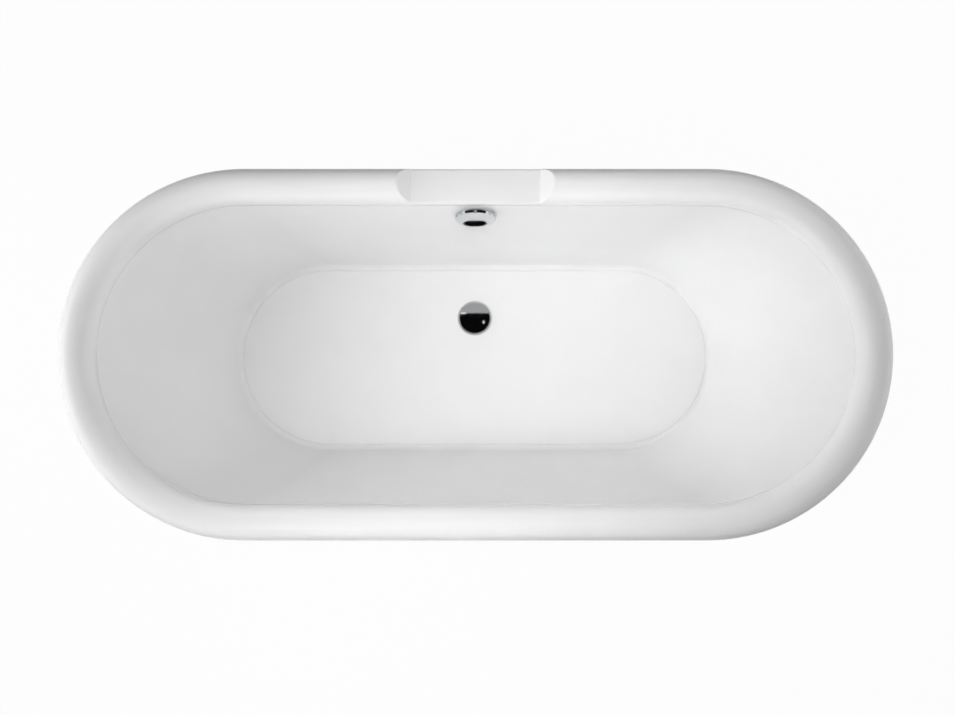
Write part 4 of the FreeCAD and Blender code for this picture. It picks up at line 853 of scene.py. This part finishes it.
class BATH_OT_feet(Operator):
    """Cast the four feet"""

    bl_idname = "bath.feet"
    bl_label = "Feet"

    # Middle of the plate from the bath's middle, and the angle at which the foot points outward
    PLACE = (0.36, 0.13)
    SPLAY = math.radians(55)
    # Heights of the sole, of the bore's blind end and of the plate's underside
    SOLE = 0.020
    BORE_END = 0.060
    PLATE = 0.147
    # The leveller's bore: outward of the plate's middle, and radius
    PAW = 0.052
    BORE = 0.0051
    # Height of each section, its middle outward of the plate's, its length along the foot and its width
    SECTIONS = np.array([
        (SOLE, PAW, 0.062, 0.056),
        (0.034, PAW, 0.068, 0.062),
        (0.074, 0.033, 0.036, 0.033),
        (0.126, 0.027, 0.070, 0.060),
        (PLATE, 0.016, 0.084, 0.070),
    ])

    def execute(self, context):
        leg = self.leg()
        plate = self.plate()
        points = np.vstack([leg.reshape(-1, 3), plate.reshape(-1, 3)])
        plate_faces = grid_faces(*plate.shape[:2]) + leg.shape[0] * leg.shape[1]
        faces = np.vstack([grid_faces(*leg.shape[:2]), plate_faces])
        for corner, (side, end) in CORNERS.items():
            out = np.array([side * math.cos(self.SPLAY), end * math.sin(self.SPLAY), 0])
            axes = np.stack([out, np.cross([0, 0, 1], out), [0, 0, 1]])
            origin = (side * self.PLACE[0], end * self.PLACE[1], 0)
            make_piece(f"{corner}_foot", "cast", put(points, origin, axes), faces, "chromed_casting")
        return {"FINISHED"}

    def leg(self):
        """Ovals that follow a natural cubic through the sections, with toes and flutes cut into them.

        The toes lie between hollows round the front of the paw, which fade out by the ankle; shallow
        flutes run down the front of the knee. The sole turns in to the leveller's bore, which is blind.
        """
        # Heights of the ankle and the knee, and how far the paw fades and the knee bulges
        ankle = 0.056
        knee = 0.118
        paw_fade = 0.03
        knee_bulge = 0.022
        # How many toes and flutes a full turn would hold, and their depths as shares of the section
        toes = 10
        flutes = 12
        toe_depth = 0.13
        flute_depth = 0.05
        sole_share = 0.93
        angle = full_turn(144)
        front = np.cos(angle)
        height = np.linspace(self.SOLE, self.PLATE, 80)[:, None]
        spline = self.natural_cubic(self.SECTIONS[:, 0], self.SECTIONS[:, 1:], height)
        reach, long, wide = np.hsplit(spline, 3)
        paw = np.clip((ankle - height) / paw_fade, 0, 1)
        paw = paw * paw * (3 - 2 * paw)
        hollow = np.clip(front + 0.35, 0, 1) * (0.5 - 0.5 * np.cos(angle * toes)) ** 3
        bulge = np.exp(-((height - knee) / knee_bulge) ** 2)
        flute = np.clip(front, 0, 1) * (0.5 + 0.5 * np.cos(angle * flutes)) ** 4
        share = 1 - toe_depth * paw * hollow - flute_depth * bulge * flute
        body = stacked(reach + long / 2 * share * front, wide / 2 * share * np.sin(angle), height)
        mouth = np.array([self.PAW, 0.0, self.SOLE])
        end = np.array([self.PAW, 0.0, self.BORE_END])
        ring = self.BORE * stacked(front, np.sin(angle), 0)
        inset = mouth + (body[0] - mouth) * sole_share
        top = body[-1].mean(axis=0)
        return np.stack([end + 0 * ring, end + ring, mouth + ring, inset, *body[1:], top + 0 * ring])

    def plate(self):
        """A slab with rounded corners and edges: a superellipse, drawn in over its top and bottom."""
        half_length = 0.052
        half_width = 0.038
        squareness = 12
        angle = full_turn(96)
        turn = np.stack([np.cos(angle), np.sin(angle)])
        out_x, out_y = np.sign(turn) * np.abs(turn) ** (2 / squareness)
        level = self.PLATE + np.array([0, 0, 0.0008, 0.002, 0.006, 0.0075, 0.008, 0.008])[:, None]
        inset = np.array([half_length, 0.002, 0.0008, 0, 0, 0.0006, 0.0016, half_length])[:, None]
        return stacked((half_length - inset) * out_x, np.maximum(half_width - inset, 0) * out_y, level)

    def natural_cubic(self, knots, values, at):
        """The natural cubic spline through values at knots: a line and a share of each |x - knot| cubed."""
        line = stacked(1, knots)
        system = np.block([[np.abs(knots[:, None] - knots) ** 3, line], [line.T, np.zeros((2, 2))]])
        shares = np.linalg.solve(system, np.vstack([values, np.zeros((2, values.shape[1]))]))
        return np.hstack([np.abs(at - knots) ** 3, stacked(1, at)[:, 0]]) @ shares


class BATH_OT_studs(Operator):
    """Roll the threads of the leveller studs"""

    bl_idname = "bath.studs"
    bl_label = "Leveller studs"

    def execute(self, context):
        pitch = context.scene.bath_trim.thread_pitch
        for corner in CORNERS:
            low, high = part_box(f"{corner}_leveller_stud")
            middle = np.array([(low.x + high.x) / 2, (low.y + high.y) / 2, low.z])
            points = self.stud(pitch, high.z - low.z)
            make_piece(f"{corner}_leveller_stud", "rolled", points + middle, grid_faces(*points.shape[:2]),
                       "zinc_steel", f"{corner}_stud", sharp=25)
        return {"FINISHED"}

    def stud(self, pitch, tall):
        """One surface about Z: a plain foot, a six-sided collar with turned chamfers, then a screw thread.

        The thread's radius falls and rises with the distance to the helix, height less turn times pitch.
        The collar's radius is half its flats over the cosine of the angle from the nearest flat.
        """
        crest = 0.005
        thread_depth = 0.00085
        flank_curve = 0.9
        half_flats = 0.0085
        foot = np.array([(0, 0), (0.0044, 0), (crest, 0.0006), (crest, 0.0064)])
        collar = np.array([(crest, 0.0065), (0.0088, 0.0065), (0.0098, 0.0071), (0.0098, 0.0099),
                           (0.0088, 0.0105), (crest, 0.0105)])
        tip = np.array([(0.004, tall), (0, tall)])
        level = np.linspace(0.0112, tall - 0.001, 220)
        angle = full_turn(48)
        from_flat = (angle + np.pi / 6) % (np.pi / 3) - np.pi / 6
        hexagon = np.minimum(half_flats / np.cos(from_flat), collar[:, :1])
        phase = (level[:, None] / pitch - angle / (2 * np.pi)) % 1
        thread = crest - thread_depth * np.abs(2 * phase - 1) ** flank_curve
        round_rows = np.ones_like(angle)
        radius = np.vstack([foot[:, :1] * round_rows, hexagon, thread, tip[:, :1] * round_rows])
        height = np.concatenate([foot[:, 1], collar[:, 1], level, tip[:, 1]])[:, None]
        return stacked(radius * np.cos(angle), radius * np.sin(angle), height)


class BATH_OT_union_nut(Operator):
    """Mould the grip ribs of the trap's union nut"""

    bl_idname = "bath.union_nut"
    bl_label = "Union nut"

    def execute(self, context):
        low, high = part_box("trap_union_nut")
        middle = ((low.x + high.x) / 2, (low.y + high.y) / 2, 0)
        edge = (high.x - low.x) / 2
        bore = 0.02005
        groove = 0.02405
        groove_low = low.z + 0.0049
        groove_high = low.z + 0.0109
        profile = rounded_profile([
            (bore, low.z, 0.0005),
            (edge, low.z, 0.0015),
            (edge, high.z, 0.0015),
            (bore, high.z, 0.0005),
            (bore, groove_high, 0),
            (groove, groove_high, 0),
            (groove, groove_low, 0),
            (bore, groove_low, 0),
        ])
        # The grip ribs follow a steep cosine, clipped flat, and are cut into the outside only
        rib_count = 20
        rib_depth = 0.0014
        rib = np.clip(0.5 + 1.2 * np.cos(rib_count * full_turn(GRIP_STEPS)), 0, 1)
        radius = profile[:, :1]
        share = np.clip((radius - groove) / (edge - groove), 0, 1)
        turned_piece("trap_union_nut", "ribbed", profile, middle, UPRIGHT, "white_polypropylene",
                     radii=radius - rib_depth * share * (1 - rib))
        return {"FINISHED"}


class BATH_OT_fittings(Operator):
    """Give each part that keeps its own shape the finish of its slot"""

    bl_idname = "bath.fittings"
    bl_label = "Fittings' finishes"

    def execute(self, context):
        for part in frame["record"]["subparts"]:
            materials = frame["nodes"][part["node"]].data.materials
            materials.clear()
            materials.append(finish(part["material_slot"]))
        return {"FINISHED"}


class BATH_OT_stage(Operator):
    """Set the floor, the lights, the sky and the camera over the bath"""

    bl_idname = "bath.stage"
    bl_label = "Stage"

    # Name, place, the point that it is aimed at, size, spread in degrees and power in watts
    LAMPS = (
        ("overhead", (0, 0, 1.6), (0, 0, 0.4), 0.7, 180, 4.75),
        ("left_window", (-2.36, 0, 1.6), (0, 0, 0.4), 1.6, 180, 23.3),
        ("left_low", (-1.5, 0, 0.9), (0, 0, 0.4), 0.7, 180, 2.9),
        ("right_low", (2.57, 0, 0.91), (0, 0, 0.55), 0.8, 180, 13.4),
        ("rear_right_fill", (1.67, 1.67, 1.6), (0, 0, 0.4), 1.6, 180, 9.0),
        ("front_fill", (-0.6, -1.3, 1.0), (0, 0, 0.4), 0.7, 180, 3.4),
        ("left_softbox", (-0.6, -0.6, 2.4), (0.1, 0.05, 0.2), 0.5, 60, 1.8),
        ("front_softbox", (0, -0.9, 2.3), (0.05, 0.1, 0.2), 0.5, 60, 0.4),
        ("right_softbox", (0.6, -0.7, 2.3), (0.35, 0.2, 0.4), 0.5, 30, 0.27),
    )

    # What only mirrors see overhead: dark, with a grey band towards the tap ledge and two small windows.
    # Name, two corners, height and strength
    CARDS = (
        ("dark_ceiling", (-4.5, -3.0), (4.5, 0.5), 3.3, 0.003),
        ("grey_ceiling", (-4.5, 0.5), (4.5, 1.1), 3.3, 0.44),
        ("dark_rear_ceiling", (-4.5, 1.1), (4.5, 3.5), 3.3, 0.003),
        ("left_slot", (-0.9, 0.47), (-0.45, 0.53), 3.29, 1.35),
        ("right_window", (0.45, -0.05), (0.51, 0.1), 3.29, 1.35),
    )

    # The camera's place in metres, and its lens and sensor in millimetres
    CAMERA_PLACE = (-0.0102, -0.0405, 3.0)
    LENS = 44.97
    SENSOR = 36

    def execute(self, context):
        scene = context.scene
        scene.view_settings.view_transform = "Standard"
        self.floor()
        for card in self.CARDS:
            self.card(*card)
        for lamp in self.LAMPS:
            self.lamp(*lamp)
        self.sky(scene)
        self.camera(scene)
        return {"FINISHED"}

    def sheet_on_stage(self, name, low, high, level, material):
        mesh = bpy.data.meshes.new(name)
        corners = [(low[0], low[1], level), (high[0], low[1], level), (high[0], high[1], level),
                   (low[0], high[1], level)]
        mesh.from_pydata(corners, [], [(0, 1, 2, 3)])
        mesh.materials.append(bpy.data.materials[material])
        item = add_object(name, mesh)
        return item

    def seen_directly(self, tree):
        """One where the eye, a mirror or a glass looks, and nought where a surface only lights others."""
        path = add_node(tree, "LightPath")
        mirrored = add_node(tree, "Math", {
            0: path.outputs["Is Camera Ray"], 1: path.outputs["Is Glossy Ray"]}, operation="MAXIMUM")
        through = add_node(tree, "Math", {
            0: mirrored, 1: path.outputs["Is Transmission Ray"]}, operation="MAXIMUM")
        return through.outputs["Value"]

    def floor(self):
        # Painted studio floor, rolled on: matt white that mostly glows to the eye, still takes a shadow,
        # and is clear from underneath
        glow_share = 0.97
        half = 9
        tree, place = new_finish("painted_studio_floor", {"Roughness": 0.9})
        shader = tree.nodes["Principled BSDF"]
        paint = add_node(tree, "TexNoise", {"Vector": place, "Scale": per_metre(400)})
        stops = {0.3: linear("#EDEDED"), 0.7: linear("#F2F2F2")}
        tint = add_node(tree, "ValToRGB", {"Fac": paint}, stops=stops)
        tree.links.new(tint.outputs["Color"], shader.inputs["Base Color"])
        glow = add_node(tree, "Emission")
        seen = add_node(tree, "Math", {0: self.seen_directly(tree), 1: glow_share}, operation="MULTIPLY")
        above = add_node(tree, "MixShader", {0: seen, 1: shader, 2: glow})
        under = add_node(tree, "NewGeometry").outputs["Backfacing"]
        clear = add_node(tree, "BsdfTransparent")
        sided = add_node(tree, "MixShader", {0: under, 1: above, 2: clear})
        tree.links.new(sided.outputs["Shader"], tree.nodes["Material Output"].inputs["Surface"])
        self.sheet_on_stage("studio_floor", (-half, -half), (half, half), 0, "painted_studio_floor")

    def card(self, name, low, high, level, strength):
        """A glowing sheet over the bath that only mirrors see."""
        material = bpy.data.materials.new(name)
        material.use_nodes = True
        tree = material.node_tree
        tree.nodes.remove(tree.nodes["Principled BSDF"])
        glow = add_node(tree, "Emission", {"Strength": strength})
        tree.links.new(glow.outputs["Emission"], tree.nodes["Material Output"].inputs["Surface"])
        item = self.sheet_on_stage(name, low, high, level, name)
        for ray in ("camera", "diffuse", "shadow", "transmission", "volume_scatter"):
            setattr(item, f"visible_{ray}", False)

    def lamp(self, name, place, aim, size, spread, power):
        """A square soft lamp that neither the eye nor a mirror sees."""
        data = bpy.data.lights.new(name, "AREA")
        data.size = size
        data.spread = math.radians(spread)
        data.energy = power
        item = add_object(name, data)
        item.location = place
        item.rotation_euler = (Vector(aim) - item.location).to_track_quat("-Z", "Y").to_euler()
        item.visible_camera = False
        item.visible_glossy = False

    def sky(self, scene):
        """White where the eye or a mirror sees past the floor; it lights nothing."""
        world = bpy.data.worlds.new("studio")
        world.use_nodes = True
        scene.world = world
        tree = world.node_tree
        white = tree.nodes["Background"]
        white.inputs["Color"].default_value = (1, 1, 1, 1)
        tree.links.new(self.seen_directly(tree), white.inputs["Strength"])

    def camera(self, scene):
        """Straight down, with the point under it off the picture's middle, as a shift lens sees it."""
        data = bpy.data.cameras.new("over_the_bath")
        data.sensor_width = self.SENSOR
        data.lens = self.LENS
        data.shift_x = (IMAGE_WIDTH / 2 - PRINCIPAL_POINT[0]) / IMAGE_WIDTH
        data.shift_y = (PRINCIPAL_POINT[1] - IMAGE_HEIGHT / 2) / IMAGE_WIDTH
        data.clip_end = 50
        scene.camera = add_object("over_the_bath", data)
        scene.camera.location = self.CAMERA_PLACE


GROUPS = {"bath_sheet": BathSheet, "bath_trim": BathTrim, "bath_colours": BathColours}
OPERATORS = (
    BATH_OT_sheet,
    BATH_OT_waste_trim,
    BATH_OT_overflow_trim,
    BATH_OT_hose,
    BATH_OT_feet,
    BATH_OT_studs,
    BATH_OT_union_nut,
    BATH_OT_fittings,
    BATH_OT_stage,
)


class BATH_PT_sidebar(Panel):
    """The bath's steps and sizes"""

    bl_idname = "BATH_PT_sidebar"
    bl_label = "Oval bath"
    bl_space_type = "VIEW_3D"
    bl_region_type = "UI"
    bl_category = "Bath"

    def draw(self, context):
        for step in OPERATORS:
            self.layout.operator(step.bl_idname)
        for name, group in GROUPS.items():
            box = self.layout.box()
            for size in group.__annotations__:
                box.prop(getattr(context.scene, name), size)


CLASSES = (*GROUPS.values(), *OPERATORS, BATH_PT_sidebar)


def register():
    for item in CLASSES:
        bpy.utils.register_class(item)
    for name, group in GROUPS.items():
        setattr(bpy.types.Scene, name, PointerProperty(type=group))


def unregister():
    for name in GROUPS:
        delattr(bpy.types.Scene, name)
    for item in reversed(CLASSES):
        bpy.utils.unregister_class(item)


def main():
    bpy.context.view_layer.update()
    register()
    for step in OPERATORS:
        group, name = step.bl_idname.split(".")
        getattr(getattr(bpy.ops, group), name)()


if __name__ == "__main__":
    main()
